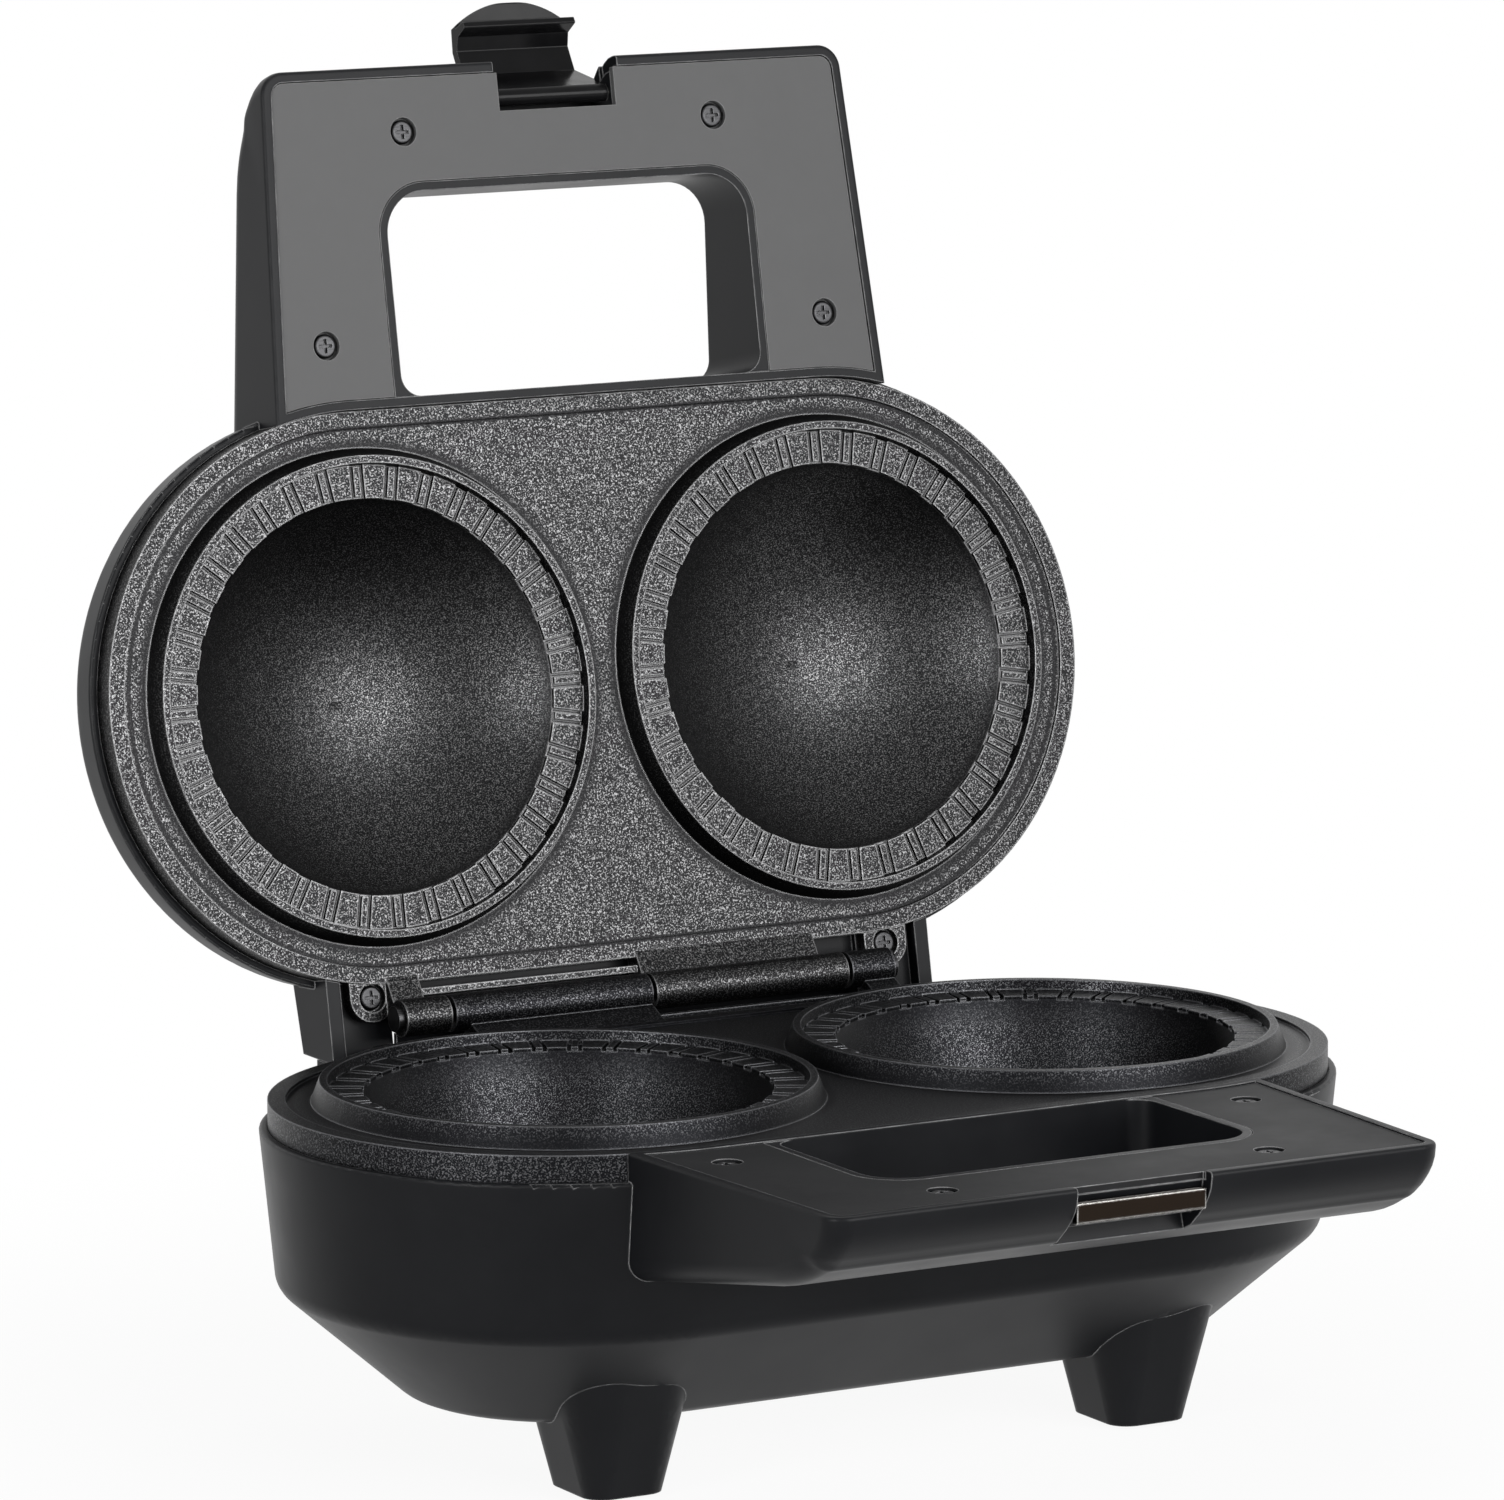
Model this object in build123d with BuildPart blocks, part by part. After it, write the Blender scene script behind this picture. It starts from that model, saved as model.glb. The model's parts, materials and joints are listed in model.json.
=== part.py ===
"""Electric pie maker for two small pies, standing with its lid open on the stop.

Two alike halves close on one hinge. Each half has its own frame, called a side: u runs across, v runs from
the hinge axis towards the handle, and w rises from the hinge axis towards the food. The lower side stands
level and the upper side is the same frame turned open about the hinge axis.
"""

import os
from math import asin, cos, radians, sin, tan

from build123d import *

os.makedirs("parts", exist_ok=True)

# ---- placing -------------------------------------------------------------------------------------------
hinge_height = 87.5  # hinge axis above the table
hinge_back = 75.3  # hinge axis behind the middle of the standing product
lid_open = 100.7  # angle between the two halves when the lid rests on its stop

# ---- cast plates ---------------------------------------------------------------------------------------
pocket_radius = 45.2
ring_radius = pocket_radius + 9.7  # outer edge of the crimping ring's crest
pocket_spacing = 2 * ring_radius + 10.2  # between the two pocket centres
plate_spacing = pocket_spacing + 2.4  # between the two end arcs of the pill-shaped outline
plate_radius = ring_radius + 10.3
plate_middle = plate_radius + 8.0  # from the hinge axis to the middle of the plate
rim_drop = 5.0  # rim below the hinge axis
rim_width = 4.0
face_drop = 0.8  # flat face below the rim
plate_thickness = 3.0
skirt_depth = 8.8  # plate skirt below the rim
skirt_thickness = 3.0
ring_foot = 1.9  # the ring's wall spreads by this much down to the face
ring_rise = 4.0  # ring crest above the rim
ring_crest = 1.8
crimp_drop = 2.4  # crimped band below the ring crest
crimp_depth = 0.9
crimp_count = 36
crimp_groove = 0.9
crimp_ridge = 1.6  # narrow ridge between a pair of grooves
crimp_end = 0.4  # the narrow ridge stops short of the pocket's edge
pocket_wall = 3.0
dome_depth = 21.0  # upper pocket, below the crimped band
well_depth = 30.0  # lower pocket, below the crimped band
well_floor_radius = pocket_radius - 10.2
well_corner = 7.0
seat_radius = pocket_radius - 13.2  # flat back of a pocket, which the heating rod lies against

# ---- hinge ---------------------------------------------------------------------------------------------
hinge_half = 64.0
knuckle_radius = 4.3
knuckle_short = 12.0
knuckle_gap = 1.0  # between neighbouring knuckles
web_short = 8.0
web_long = 47.0
tie_back = 4.6  # tie bar between the two webs of a casting, from the hinge axis
tie_thickness = 1.6
tie_top = 4.5  # below the hinge axis
pin_radius = 2.0
pin_head_radius = 3.0
pin_head = 1.5
running_gap = 0.06
lug_offset = 67.5
lug_middle = 5.2
lug_radius = 5.6
lug_drop = 0.6  # lug top below the rim
lug_thickness = 3.6
ear_inner = 61.5
ear_outer = 79.0
ear_lip = 3.5  # wall beside the lug on the lid
ear_height = 11.0
flange_back = 1.5  # flange across the lid between its ears, from the hinge axis
stop_drop = 10.0  # stop ledge below the hinge axis
stop_reach = 12.0  # stop ledge behind the hinge axis
stop_gap = 0.15

# ---- moulded housings ----------------------------------------------------------------------------------
housing_radius = plate_radius + 2.0
housing_drop = 11.0  # housing rim below the hinge axis
housing_wall = 3.0
draft = 5.5  # angle of the moulded side walls from upright
rim_round = 0.8
seat_gap = 0.15
base_wall_height = 35.0
base_slope_height = 25.0
base_slope = 49.0  # angle of the slope from upright
lid_wall_height = 10.0
lid_slope_height = 23.0
lid_slope = 48.0
shoulder_round = 6.0
floor_round = 8.0

# ---- handles -------------------------------------------------------------------------------------------
handle_root = plate_middle + housing_radius - 3.4  # where the handle leaves the tub
handle_start = handle_root - 17.0  # hidden root of the handle, inside the tub
handle_length = 79.0
handle_reach = handle_root + handle_length  # front edge from the hinge axis
handle_root_half = 79.6
handle_narrowing = 4.2  # the front edge is narrower by this much on each side
handle_front_half = handle_root_half - handle_narrowing
handle_wall = 2.4
handle_corner = 5.6
handle_round = 5.0
handle_lip = 0.2  # the lip behind the cover stands outside the tub by this much
lid_handle_drop = 1.6  # handle rim below the hinge axis
lid_handle_root_depth = 28.0
lid_handle_tip_depth = 17.5
base_handle_drop = 4.7
base_handle_root_depth = 33.0
base_handle_tip_depth = 19.8
opening_half = 47.0
grip_depth = 28.6  # bar in front of the opening
opening_front = handle_reach - grip_depth
opening_front_round = 10.0
opening_back_round = 5.0
opening_lip = 2.0
cover_drop = 0.4  # cover face below the handle rim
cover_thickness = 1.6
cover_gap = 0.2
cover_screw_places = ((40.5, handle_reach - 15.0), (65.2, handle_root + 16.4))  # on each side
boss_radius = 3.9

# ---- latch ---------------------------------------------------------------------------------------------
latch_inset = 8.0  # latch pin behind the handle's front edge
latch_forward = handle_reach - latch_inset
latch_drop = 6.2  # latch pin below the lid's hinge plane
latch_swing = 106.8
latch_half = 14.6
latch_side_gap = 0.6
latch_hub = 2.1
latch_pin_radius = 1.0
latch_round = 0.4
hook_reach = 5.0  # hook tip in front of the pin, when shut
hook_level = 19.8  # hook tip below the pin, when shut
hook_thickness = 1.6
claw_reach = 11.2  # inside of the claw in front of the pin, when shut
claw_start = 10.2  # bend at the top of the claw, below the pin
claw_end = 16.4  # bend at the foot of the claw
claw_thickness = 2.1
thumb_shoulder = 22.0
thumb_end = 26.8
thumb_reach = 8.5  # middle of the thumb tab's end in front of the pin
thumb_thickness = 1.8
cheek_thickness = 3.6
slot_back = latch_forward - 3.4
slot_wall = 1.6
slot_floor = 14.0  # bottom of the slot's straight part below the hinge axis
skin_slot_back = latch_forward + 1.4
notch_side_gap = 1.0
notch_depth = 3.4  # notch in the handle's front edge
lid_notch_drop = 9.0

# ---- keeper --------------------------------------------------------------------------------------------
keeper_half = 15.9
keeper_top = 8.0  # below the hinge axis
keeper_bottom = 12.8
keeper_inset = 1.3  # keeper behind the handle's front edge
keeper_face = handle_reach - keeper_inset
keeper_tongue = 5.0
keeper_tongue_half = 8.0
keeper_tongue_thickness = 2.0
recess_side_gap = 0.6
recess_bottom = 16.6  # below the hinge axis
scoop_depth = 8.0
backing_depth = 10.0
backing_wall = 2.2

# ---- legs ----------------------------------------------------------------------------------------------
front_leg = (pocket_spacing / 2 + 7.0, plate_middle + 29.3)  # across and forward
front_leg_size = (19.0, 22.0)  # at the foot
front_leg_spread = 14.5  # angle of the leg's sides from upright
front_leg_root = 52.0  # hidden top of the leg below the hinge axis
back_leg = (pocket_spacing / 4, plate_middle - 57.2)
back_leg_size = (19.0, 20.0)
back_leg_spread = 2.0
back_leg_root = 46.0
leg_corner = 5.0
leg_wall = 3.0
leg_floor = 4.0
pad_radius = 6.5
pad_thickness = 2.0
pad_proud = 1.0

# ---- screws --------------------------------------------------------------------------------------------
screw_radius = 1.6
screw_head_radius = 2.8
screw_head = 1.5
screw_head_round = 0.7
screw_length = 9.0
long_screw_length = 13.0
screw_fit = 0.03
head_gap = 0.5
cross_length = 3.2
cross_width = 0.7
cross_depth = 0.8

# ---- inside --------------------------------------------------------------------------------------------
contact_gap = 0.05
rod_radius = 3.25  # sheathed heating rod
rod_turn = seat_radius - 5.0  # radius of the rod's end bends
rod_opening = 30.0  # between the rod's two ends
rod_pin_radius = 1.3
rod_pin = 7.0
shield_gap = 0.3
shield_thickness = 0.8
shield_radius = pocket_radius - 4.2
shield_rim = 4.0
post_back = 35.0  # rear post behind the plate's middle
post_front = 18.0  # front post ahead of the plate's middle
post_radius = 4.0
base_post_radius = 6.5
base_post_grip = 7.0  # boss between the screw head and the shield
thermostat_radius = 8.0
thermostat_height = 4.0
thermostat_cap_radius = 5.5
thermostat_cap = 2.5
fuse_forward = plate_middle - 21.2
fuse_radius = 2.0
fuse_length = 16.0
fuse_lead_radius = 0.6
fuse_lead = 4.0
gland_across = -30.0
gland_drop = 34.0  # below the hinge axis
gland_seat = 5.0  # outer face of the gland's boss from the hinge axis
gland_boss_radius = 10.0
gland_bore = 3.6
gland_body_radius = 6.0
gland_fit = 0.1
gland_flange_radius = 8.5
gland_flange = 2.0
gland_length = 12.0
panel_half = 12.0  # panel that closes the slot in the rear wall and carries the gland
panel_gap = 0.1
terminal_size = (26.0, 12.0, 9.0)
terminal_forward = plate_middle - 15.2
terminal_bore = 2.0
terminal_bore_depth = 6.0
lens_radius = 3.2
lens_flange_radius = 4.4
lens_flange = 1.0
lens_proud = 0.6
lens_fit = 0.05
lens_spacing = 16.0
lens_forward = plate_middle + 22.8
lamp_radius = 1.8
lamp_length = 12.0

# ---- worked out from the above -------------------------------------------------------------------------
rim = -rim_drop
face = rim - face_drop
crest = rim + ring_rise
lands = crest - crimp_drop
band = lands - crimp_depth
plate_back = face - plate_thickness
skirt_end = rim - skirt_depth
dome_back = band - dome_depth - pocket_wall
well_back = band - well_depth - pocket_wall
housing_rim = -housing_drop
rebate = skirt_end - seat_gap
rebate_radius = plate_radius + seat_gap
base_floor = housing_rim - base_wall_height - base_slope_height
lid_roof = housing_rim - lid_wall_height - lid_slope_height
table = -hinge_height
leg_end = table + pad_proud
lug_top = rim - lug_drop
lug_back = lug_top - lug_thickness
ear_top = lug_back - seat_gap
head_sink = screw_head + head_gap
handle_back_radius = housing_radius + handle_lip
opening_back = plate_middle + handle_back_radius
lid_rim = -lid_handle_drop
base_rim = -base_handle_drop
lid_cover_back = lid_rim - cover_drop - cover_thickness
base_cover_back = base_rim - cover_drop - cover_thickness
slot_half = latch_half + latch_side_gap
recess_back = handle_reach - notch_depth
recess_half = keeper_half + recess_side_gap
upper_shield_top = dome_back - contact_gap - 2 * rod_radius - shield_gap
lower_shield_top = well_back - contact_gap - 2 * rod_radius - shield_gap
base_post_top = lower_shield_top - shield_thickness - contact_gap
post_places = [(0, plate_middle - post_back), (0, plate_middle + post_front)]
beyond = 300.0  # longer than the product, for cuts that run right through

lower = Plane(origin=(0, hinge_back, hinge_height), x_dir=(-1, 0, 0), z_dir=(0, 0, 1))
upper = Plane(
    origin=(0, hinge_back, hinge_height),
    x_dir=(1, 0, 0),
    z_dir=(0, -sin(radians(lid_open)), -cos(radians(lid_open))),
)


# ---- planes, axes and plain blocks ---------------------------------------------------------------------
def level(side, w):
    """Plane parallel to the plates, w above the hinge axis."""
    return side.offset(w)


def across(side, u=0.0):
    """Upright plane at u: local x runs forward, local y towards the food."""
    return Plane(origin=side.from_local_coords((u, 0, 0)), x_dir=side.y_dir, z_dir=side.x_dir)


def facing(side, v):
    """Upright plane at v, seen from the handle: local x runs sideways, local y towards the food."""
    return Plane(origin=side.from_local_coords((0, v, 0)), x_dir=-side.x_dir, z_dir=side.y_dir)


def rise(side):
    """Axis through the hinge, along w."""
    return Axis(side.origin, side.z_dir)


def forward(side):
    """Axis through the hinge, along v."""
    return Axis(side.origin, side.y_dir)


def seam(part, side, w):
    """Edges that lie at the level w."""
    return part.edges().filter_by_position(rise(side), w - 0.01, w + 0.01)


def round_bores(side, places, radius, top, depth):
    """Cuts round holes down from a level into the part being built."""
    with BuildSketch(level(side, top)) as bores:
        with Locations(*places):
            Circle(radius)
    extrude(bores.sketch, amount=-depth, mode=Mode.SUBTRACT)


def screw_bores(side, places, top, depth):
    """Cuts screw holes down from a level into the part being built."""
    round_bores(side, places, screw_radius + screw_fit, top, depth)


def both_sides(places):
    """The same places on both sides of the middle."""
    return [(sign * u, v) for sign in (-1, 1) for u, v in places]


def pill(radius, mode=Mode.ADD):
    """Pill-shaped outline about the plate's middle."""
    with Locations((0, plate_middle)):
        SlotCenterToCenter(plate_spacing, 2 * radius, mode=mode)


def pill_block(side, radius, low, high):
    """Pill between two levels."""
    with BuildPart() as block:
        with BuildSketch(level(side, low)):
            pill(radius)
        extrude(amount=high - low)
    return block.part


def box_block(side, u, v, w):
    """Block between two values of each of u, v and w."""
    with BuildPart() as block:
        with BuildSketch(level(side, w[0])):
            with Locations(((u[0] + u[1]) / 2, (v[0] + v[1]) / 2)):
                Rectangle(u[1] - u[0], v[1] - v[0])
        extrude(amount=w[1] - w[0])
    return block.part


def rod_block(side, places, radius, low, high):
    """Round posts between two levels."""
    with BuildPart() as block:
        with BuildSketch(level(side, low)):
            with Locations(*places):
                Circle(radius)
        extrude(amount=high - low)
    return block.part


def shaft_block(side, v, w, radius, half):
    """Round bar across the product, centred on the middle."""
    with BuildPart() as block:
        with BuildSketch(across(side)):
            with Locations((v, w)):
                Circle(radius)
        extrude(amount=half, both=True)
    return block.part


# ---- cast plates ---------------------------------------------------------------------------------------
def turned_at_pockets(side, draw, mode):
    """Revolves one half section about the axis of each pocket."""
    for u in (-pocket_spacing / 2, pocket_spacing / 2):
        origin = side.from_local_coords((u, plate_middle, 0))
        with BuildSketch(Plane(origin=origin, x_dir=side.x_dir, z_dir=-side.y_dir)) as section:
            with BuildLine():
                draw()
            make_face()
        revolve(section.sketch, axis=Axis(origin, side.z_dir), mode=mode)


def draw_ring():
    """Half section of the crimping ring, solid to its middle."""
    foot = ring_radius + ring_foot
    Polyline((0, plate_back), (foot, plate_back), (foot, face), (ring_radius, crest), (0, crest), close=True)


def draw_ring_bore():
    """Half section of the hollow inside the ring, down to the crimped band."""
    bore = ring_radius - ring_crest
    Polyline((0, band), (bore - 0.3, band), (bore, crest), (bore, crest + 1), (0, crest + 1), close=True)


def draw_dome():
    """Half section of the upper pocket, a shallow bowl of one radius."""
    bowl = (pocket_radius**2 + dome_depth**2) / (2 * dome_depth)
    half = asin(pocket_radius / bowl) / 2
    low = band - dome_depth
    ThreePointArc((0, low), (bowl * sin(half), low + bowl * (1 - cos(half))), (pocket_radius, band))
    Polyline((pocket_radius, band), (pocket_radius, crest), (0, crest), (0, low))


def draw_dome_back():
    """Half section behind the upper pocket, stepped down to the flat seat of the heating rod."""
    Polyline(
        (0, face - 1),
        (pocket_radius + pocket_wall, face - 1),
        (pocket_radius + pocket_wall, plate_back),
        (pocket_radius - pocket_wall, plate_back - 5),
        (seat_radius + pocket_wall, dome_back + 7),
        (seat_radius, dome_back),
        (0, dome_back),
        close=True,
    )


def draw_well():
    """Half section of the lower pocket, a steep tub with a rounded corner."""
    low = band - well_depth
    FilletPolyline((pocket_radius, band), (well_floor_radius, low), (0, low), radius=well_corner)
    Polyline((0, low), (0, crest), (pocket_radius, crest), (pocket_radius, band))


def draw_well_back():
    """Half section behind the lower pocket."""
    Polyline(
        (0, face - 1),
        (pocket_radius + pocket_wall, face - 1),
        (pocket_radius + pocket_wall, plate_back),
        (well_floor_radius + pocket_wall, well_back + pocket_wall),
        (seat_radius, well_back),
        (0, well_back),
        close=True,
    )


def crimp_lands(side):
    """Raised lands between pairs of radial grooves, with a narrow ridge inside each pair."""
    outer = ring_radius - ring_crest - 0.2
    middle = (outer + pocket_radius) / 2
    pair = 2 * crimp_groove + crimp_ridge
    with BuildSketch(level(side, band)) as ridges:
        with Locations((-pocket_spacing / 2, plate_middle), (pocket_spacing / 2, plate_middle)):
            Circle(outer)
            Circle(pocket_radius, mode=Mode.SUBTRACT)
            with PolarLocations(middle, crimp_count):
                Rectangle(2 * (outer - pocket_radius), pair, mode=Mode.SUBTRACT)
            with PolarLocations(middle, crimp_count):
                Rectangle(outer - pocket_radius - 2 * crimp_end, crimp_ridge)
    extrude(ridges.sketch, amount=crimp_depth)


def knuckles(side):
    """Adds the two hinge knuckles of one casting, each on a web from the rim, and bores them."""
    root = plate_middle - plate_radius + skirt_thickness / 2
    starts = (-hinge_half, knuckle_gap / 2)
    lengths = (knuckle_short - knuckle_gap / 2, hinge_half - knuckle_short - knuckle_gap)
    for start, length, web in zip(starts, lengths, (web_short, web_long)):
        with BuildSketch(across(side, start)) as barrel:
            Circle(knuckle_radius)
        extrude(barrel.sketch, amount=length)
        with BuildSketch(across(side, start)) as rib:
            with BuildLine():
                Polyline(
                    (root, plate_back),
                    (root, rim),
                    (knuckle_radius - 1, -knuckle_radius / 2),
                    (0, -knuckle_radius / 2),
                    (0, -knuckle_radius),
                    (knuckle_radius / 2, plate_back),
                    close=True,
                )
            make_face()
        extrude(rib.sketch, amount=web)
    tie = (tie_back, tie_back + tie_thickness)
    add(box_block(side, (web_short - hinge_half, knuckle_gap / 2 + skirt_thickness), tie, (plate_back, -tie_top)))
    with BuildSketch(across(side)) as bore:
        Circle(pin_radius + running_gap)
    extrude(bore.sketch, amount=hinge_half + 1, both=True, mode=Mode.SUBTRACT)


def lugs(side):
    """Adds the two screw lugs behind the rim of one casting."""
    places = both_sides([(lug_offset, lug_middle)])
    with BuildSketch(level(side, lug_back)) as outline:
        with Locations(*places):
            Circle(lug_radius)
        with Locations(*both_sides([(lug_offset, lug_middle + lug_radius / 2)])):
            Rectangle(2 * lug_radius, lug_radius)
    extrude(outline.sketch, amount=lug_thickness)
    round_bores(side, places, screw_head_radius + head_gap, lug_top, head_sink)
    screw_bores(side, places, lug_top, lug_thickness)


def casting(side, draw_pocket, draw_back, post_end, post_bore):
    """One non-stick plate: rings, pockets, skirt, knuckles, lugs and threaded posts."""
    with BuildPart() as plate:
        with BuildSketch(level(side, skirt_end)):
            pill(plate_radius)
        extrude(amount=rim - skirt_end)
        with BuildSketch(level(side, rim)):
            pill(plate_radius - rim_width)
        extrude(amount=-face_drop, mode=Mode.SUBTRACT)
        with BuildSketch(level(side, skirt_end)):
            pill(plate_radius - skirt_thickness)
        extrude(amount=plate_back - skirt_end, mode=Mode.SUBTRACT)
        turned_at_pockets(side, draw_back, Mode.ADD)
        turned_at_pockets(side, draw_ring, Mode.ADD)
        turned_at_pockets(side, draw_ring_bore, Mode.SUBTRACT)
        turned_at_pockets(side, draw_pocket, Mode.SUBTRACT)
        crimp_lands(side)
        knuckles(side)
        lugs(side)
        with BuildSketch(level(side, plate_back)):
            with Locations(*post_places):
                Circle(post_radius)
        extrude(amount=post_end - plate_back)
        screw_bores(side, post_places, post_end, -post_bore)
    return plate


upper_plate = casting(upper, draw_dome, draw_dome_back, upper_shield_top, screw_length)
lower_plate = casting(lower, draw_well, draw_well_back, lower_shield_top, screw_length)

with BuildPart() as hinge_pin:
    with BuildSketch(across(lower)):
        Circle(pin_radius)
    extrude(amount=hinge_half + pin_head, both=True)
    for end in (-hinge_half - pin_head, hinge_half + running_gap):
        with BuildSketch(across(lower, end)):
            Circle(pin_head_radius)
        extrude(amount=pin_head - running_gap)


# ---- housing forms -------------------------------------------------------------------------------------
def tub_form(side, wall_height, slope_height, slope, inset=0.0):
    """Pill-shaped tub: a drafted wall, then a slope to a flat floor. The inset gives its hollow."""
    lift = inset * tan(radians(slope / 2))
    wall = wall_height - lift
    slant = slope_height - inset + lift
    turn = housing_rim - wall
    with BuildPart() as form:
        with BuildSketch(level(side, housing_rim)):
            pill(housing_radius - inset)
        extrude(amount=-wall, taper=draft)
        with BuildSketch(level(side, turn)):
            pill(housing_radius - inset - wall * tan(radians(draft)))
        extrude(amount=-slant, taper=slope)
        fillet(seam(form.part, side, turn), shoulder_round - inset)
        fillet(seam(form.part, side, turn - slant), floor_round - inset)
        if not inset:
            fillet(seam(form.part, side, housing_rim), rim_round)
    return form.part


def handle_half(v):
    """Half width of a handle at a distance from the hinge axis."""
    narrowing = (handle_root_half - handle_front_half) / (handle_reach - handle_root)
    return handle_root_half - narrowing * (v - handle_root)


def handle_plan(inset):
    """Tapered outline of a handle, running back into the tub."""
    front = handle_reach - inset
    back_half = handle_half(handle_start) - inset
    front_half = handle_half(front) - inset
    with BuildLine() as outline:
        Polyline(
            (-back_half, handle_start),
            (-front_half, front),
            (front_half, front),
            (back_half, handle_start),
            close=True,
        )
    make_face(outline.edges())


def handle_form(side, top, root_depth, tip_depth, inset=0.0):
    """Wedge-shaped handle with rounded corners. The inset gives its hollow."""
    pitch = (root_depth - tip_depth) / (handle_reach - handle_root)
    front = handle_reach - inset
    front_low = inset - tip_depth - pitch * inset
    start_low = inset - tip_depth - pitch * (handle_reach - handle_start)
    corner_round = handle_corner - inset
    lower_round = 0.85 * corner_round if inset else handle_round
    with BuildPart() as form:
        with BuildSketch(across(side)):
            with BuildLine():
                Polyline(
                    (handle_start, top),
                    (front, top),
                    (front, front_low),
                    (handle_start, start_low),
                    close=True,
                )
            make_face()
        extrude(amount=beyond, both=True)
        with BuildSketch(side):
            handle_plan(inset)
        extrude(amount=beyond, both=True, mode=Mode.INTERSECT)
        corners = form.part.edges().filter_by(rise(side)).sort_by(forward(side))[-2:]
        fillet(corners, corner_round)
        underside = form.part.faces().sort_by(rise(side))[0]
        fillet(underside.edges().sort_by(forward(side))[1:], lower_round)
        if not inset:
            fillet(seam(form.part, side, top).sort_by(forward(side))[1:], rim_round)
    return form.part


def opening_block(side, low, high, grow=0.0):
    """Finger opening of a handle between two levels, larger all round by a margin."""
    back = opening_back - grow
    front = opening_front + grow
    with BuildPart() as block:
        with BuildSketch(level(side, low)):
            with Locations((0, (back + front) / 2)):
                Rectangle(2 * (opening_half + grow), front - back)
        extrude(amount=high - low)
        corners = block.part.edges().filter_by(rise(side)).sort_by(forward(side))
        fillet(corners[2:], opening_front_round + grow)
        if not grow:
            fillet(block.part.edges().filter_by(rise(side)).sort_by(forward(side))[:2], opening_back_round)
    return block.part


def grip_hollow(side, rim_level, root_depth, tip_depth, tub):
    """Hollow of one handle, in front of the tub's wall and the lip above it."""
    hollow = handle_form(side, rim_level + 1, root_depth, tip_depth, handle_wall)
    lip = pill_block(side, handle_back_radius, housing_rim - 2 * rim_round, rim_level + 1)
    return hollow - tub - lip


def grip_fittings(side, rim_level, form):
    """Surround of the finger opening and the four screw bosses of one handle."""
    cover_level = rim_level - cover_drop
    surround = opening_block(side, -beyond, cover_level, opening_lip)
    boss_top = cover_level - head_sink - cover_thickness - contact_gap
    bosses = rod_block(side, both_sides(cover_screw_places), boss_radius, -beyond, boss_top)
    return (surround + bosses) & form


def ear(side, outline, inner, outer):
    """Adds one profile as a hinge ear at both ends of the hinge."""
    for start in (inner, -outer):
        with BuildSketch(across(side, start)) as profile:
            with BuildLine():
                Polyline(*outline, close=True)
            make_face()
        extrude(profile.sketch, amount=outer - inner)


lug_places = both_sides([(lug_offset, lug_middle)])
lug_seat = lug_top - head_sink
cover_places = both_sides(cover_screw_places)
wall_inside = plate_middle - rebate_radius + housing_wall

# ---- lid housing ---------------------------------------------------------------------------------------
lid_tub = tub_form(upper, lid_wall_height, lid_slope_height, lid_slope)
lid_tub_hollow = tub_form(upper, lid_wall_height, lid_slope_height, lid_slope, housing_wall)
lid_grip = handle_form(upper, lid_rim, lid_handle_root_depth, lid_handle_tip_depth)
lid_grip_hollow = grip_hollow(upper, lid_rim, lid_handle_root_depth, lid_handle_tip_depth, lid_tub)
lid_fittings = grip_fittings(upper, lid_rim, lid_grip)
cheek_half = slot_half + cheek_thickness
cheeks_top = lid_cover_back - contact_gap
latch_cheeks = lid_grip & box_block(
    upper,
    (-cheek_half, cheek_half),
    (slot_back - slot_wall, handle_reach - handle_wall / 2),
    (-beyond, cheeks_top),
)


def heel(w):
    """Forward place of the ear's heel at a level: flat on the stop ledge when the lid is open."""
    return (stop_gap - stop_drop + w * cos(radians(lid_open))) / sin(radians(lid_open))


ear_low = ear_top - ear_height
lip_top = lug_top + stop_gap
lid_ear = (
    (wall_inside, ear_top),
    (heel(ear_top), ear_top),
    (heel(ear_low), ear_low),
    (wall_inside, ear_low - 2),
)
lid_ear_lip = (
    (wall_inside, lip_top),
    (heel(lip_top), lip_top),
    (heel(ear_top), ear_top),
    (wall_inside, ear_top),
)
lens_places = both_sides([(lens_spacing / 2, lens_forward)])

with BuildPart() as lid_housing:
    add(lid_tub)
    add(lid_grip)
    ear(upper, lid_ear, ear_inner, ear_outer)
    ear(upper, lid_ear_lip, ear_outer - ear_lip, ear_outer)
    add(
        box_block(
            upper,
            (-ear_inner - 0.5, ear_inner + 0.5),
            (flange_back, wall_inside),
            (housing_rim - housing_wall, housing_rim),
        )
    )
    add(lid_grip_hollow, mode=Mode.SUBTRACT)
    add(lid_fittings)
    add(latch_cheeks)
    add(lid_tub_hollow, mode=Mode.SUBTRACT)
    add(pill_block(upper, rebate_radius, rebate, 1), mode=Mode.SUBTRACT)
    add(opening_block(upper, -beyond, 1), mode=Mode.SUBTRACT)
    add(
        box_block(upper, (-slot_half, slot_half), (slot_back, beyond), (-slot_floor, 1)),
        mode=Mode.SUBTRACT,
    )
    add(
        box_block(upper, (-slot_half, slot_half), (skin_slot_back, beyond), (-beyond, -slot_floor + 1)),
        mode=Mode.SUBTRACT,
    )
    notch_half = slot_half + notch_side_gap
    add(
        box_block(upper, (-notch_half, notch_half), (recess_back, beyond), (-lid_notch_drop, 1)),
        mode=Mode.SUBTRACT,
    )
    add(
        shaft_block(upper, latch_forward, -latch_drop, latch_pin_radius + screw_fit, cheek_half),
        mode=Mode.SUBTRACT,
    )
    screw_bores(upper, lug_places, ear_top, screw_length)
    screw_bores(upper, cover_places, lid_rim, head_sink + cover_thickness + screw_length)
    round_bores(upper, lens_places, lens_radius + lens_fit, lid_roof + housing_wall + 1, housing_wall + 2)

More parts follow.
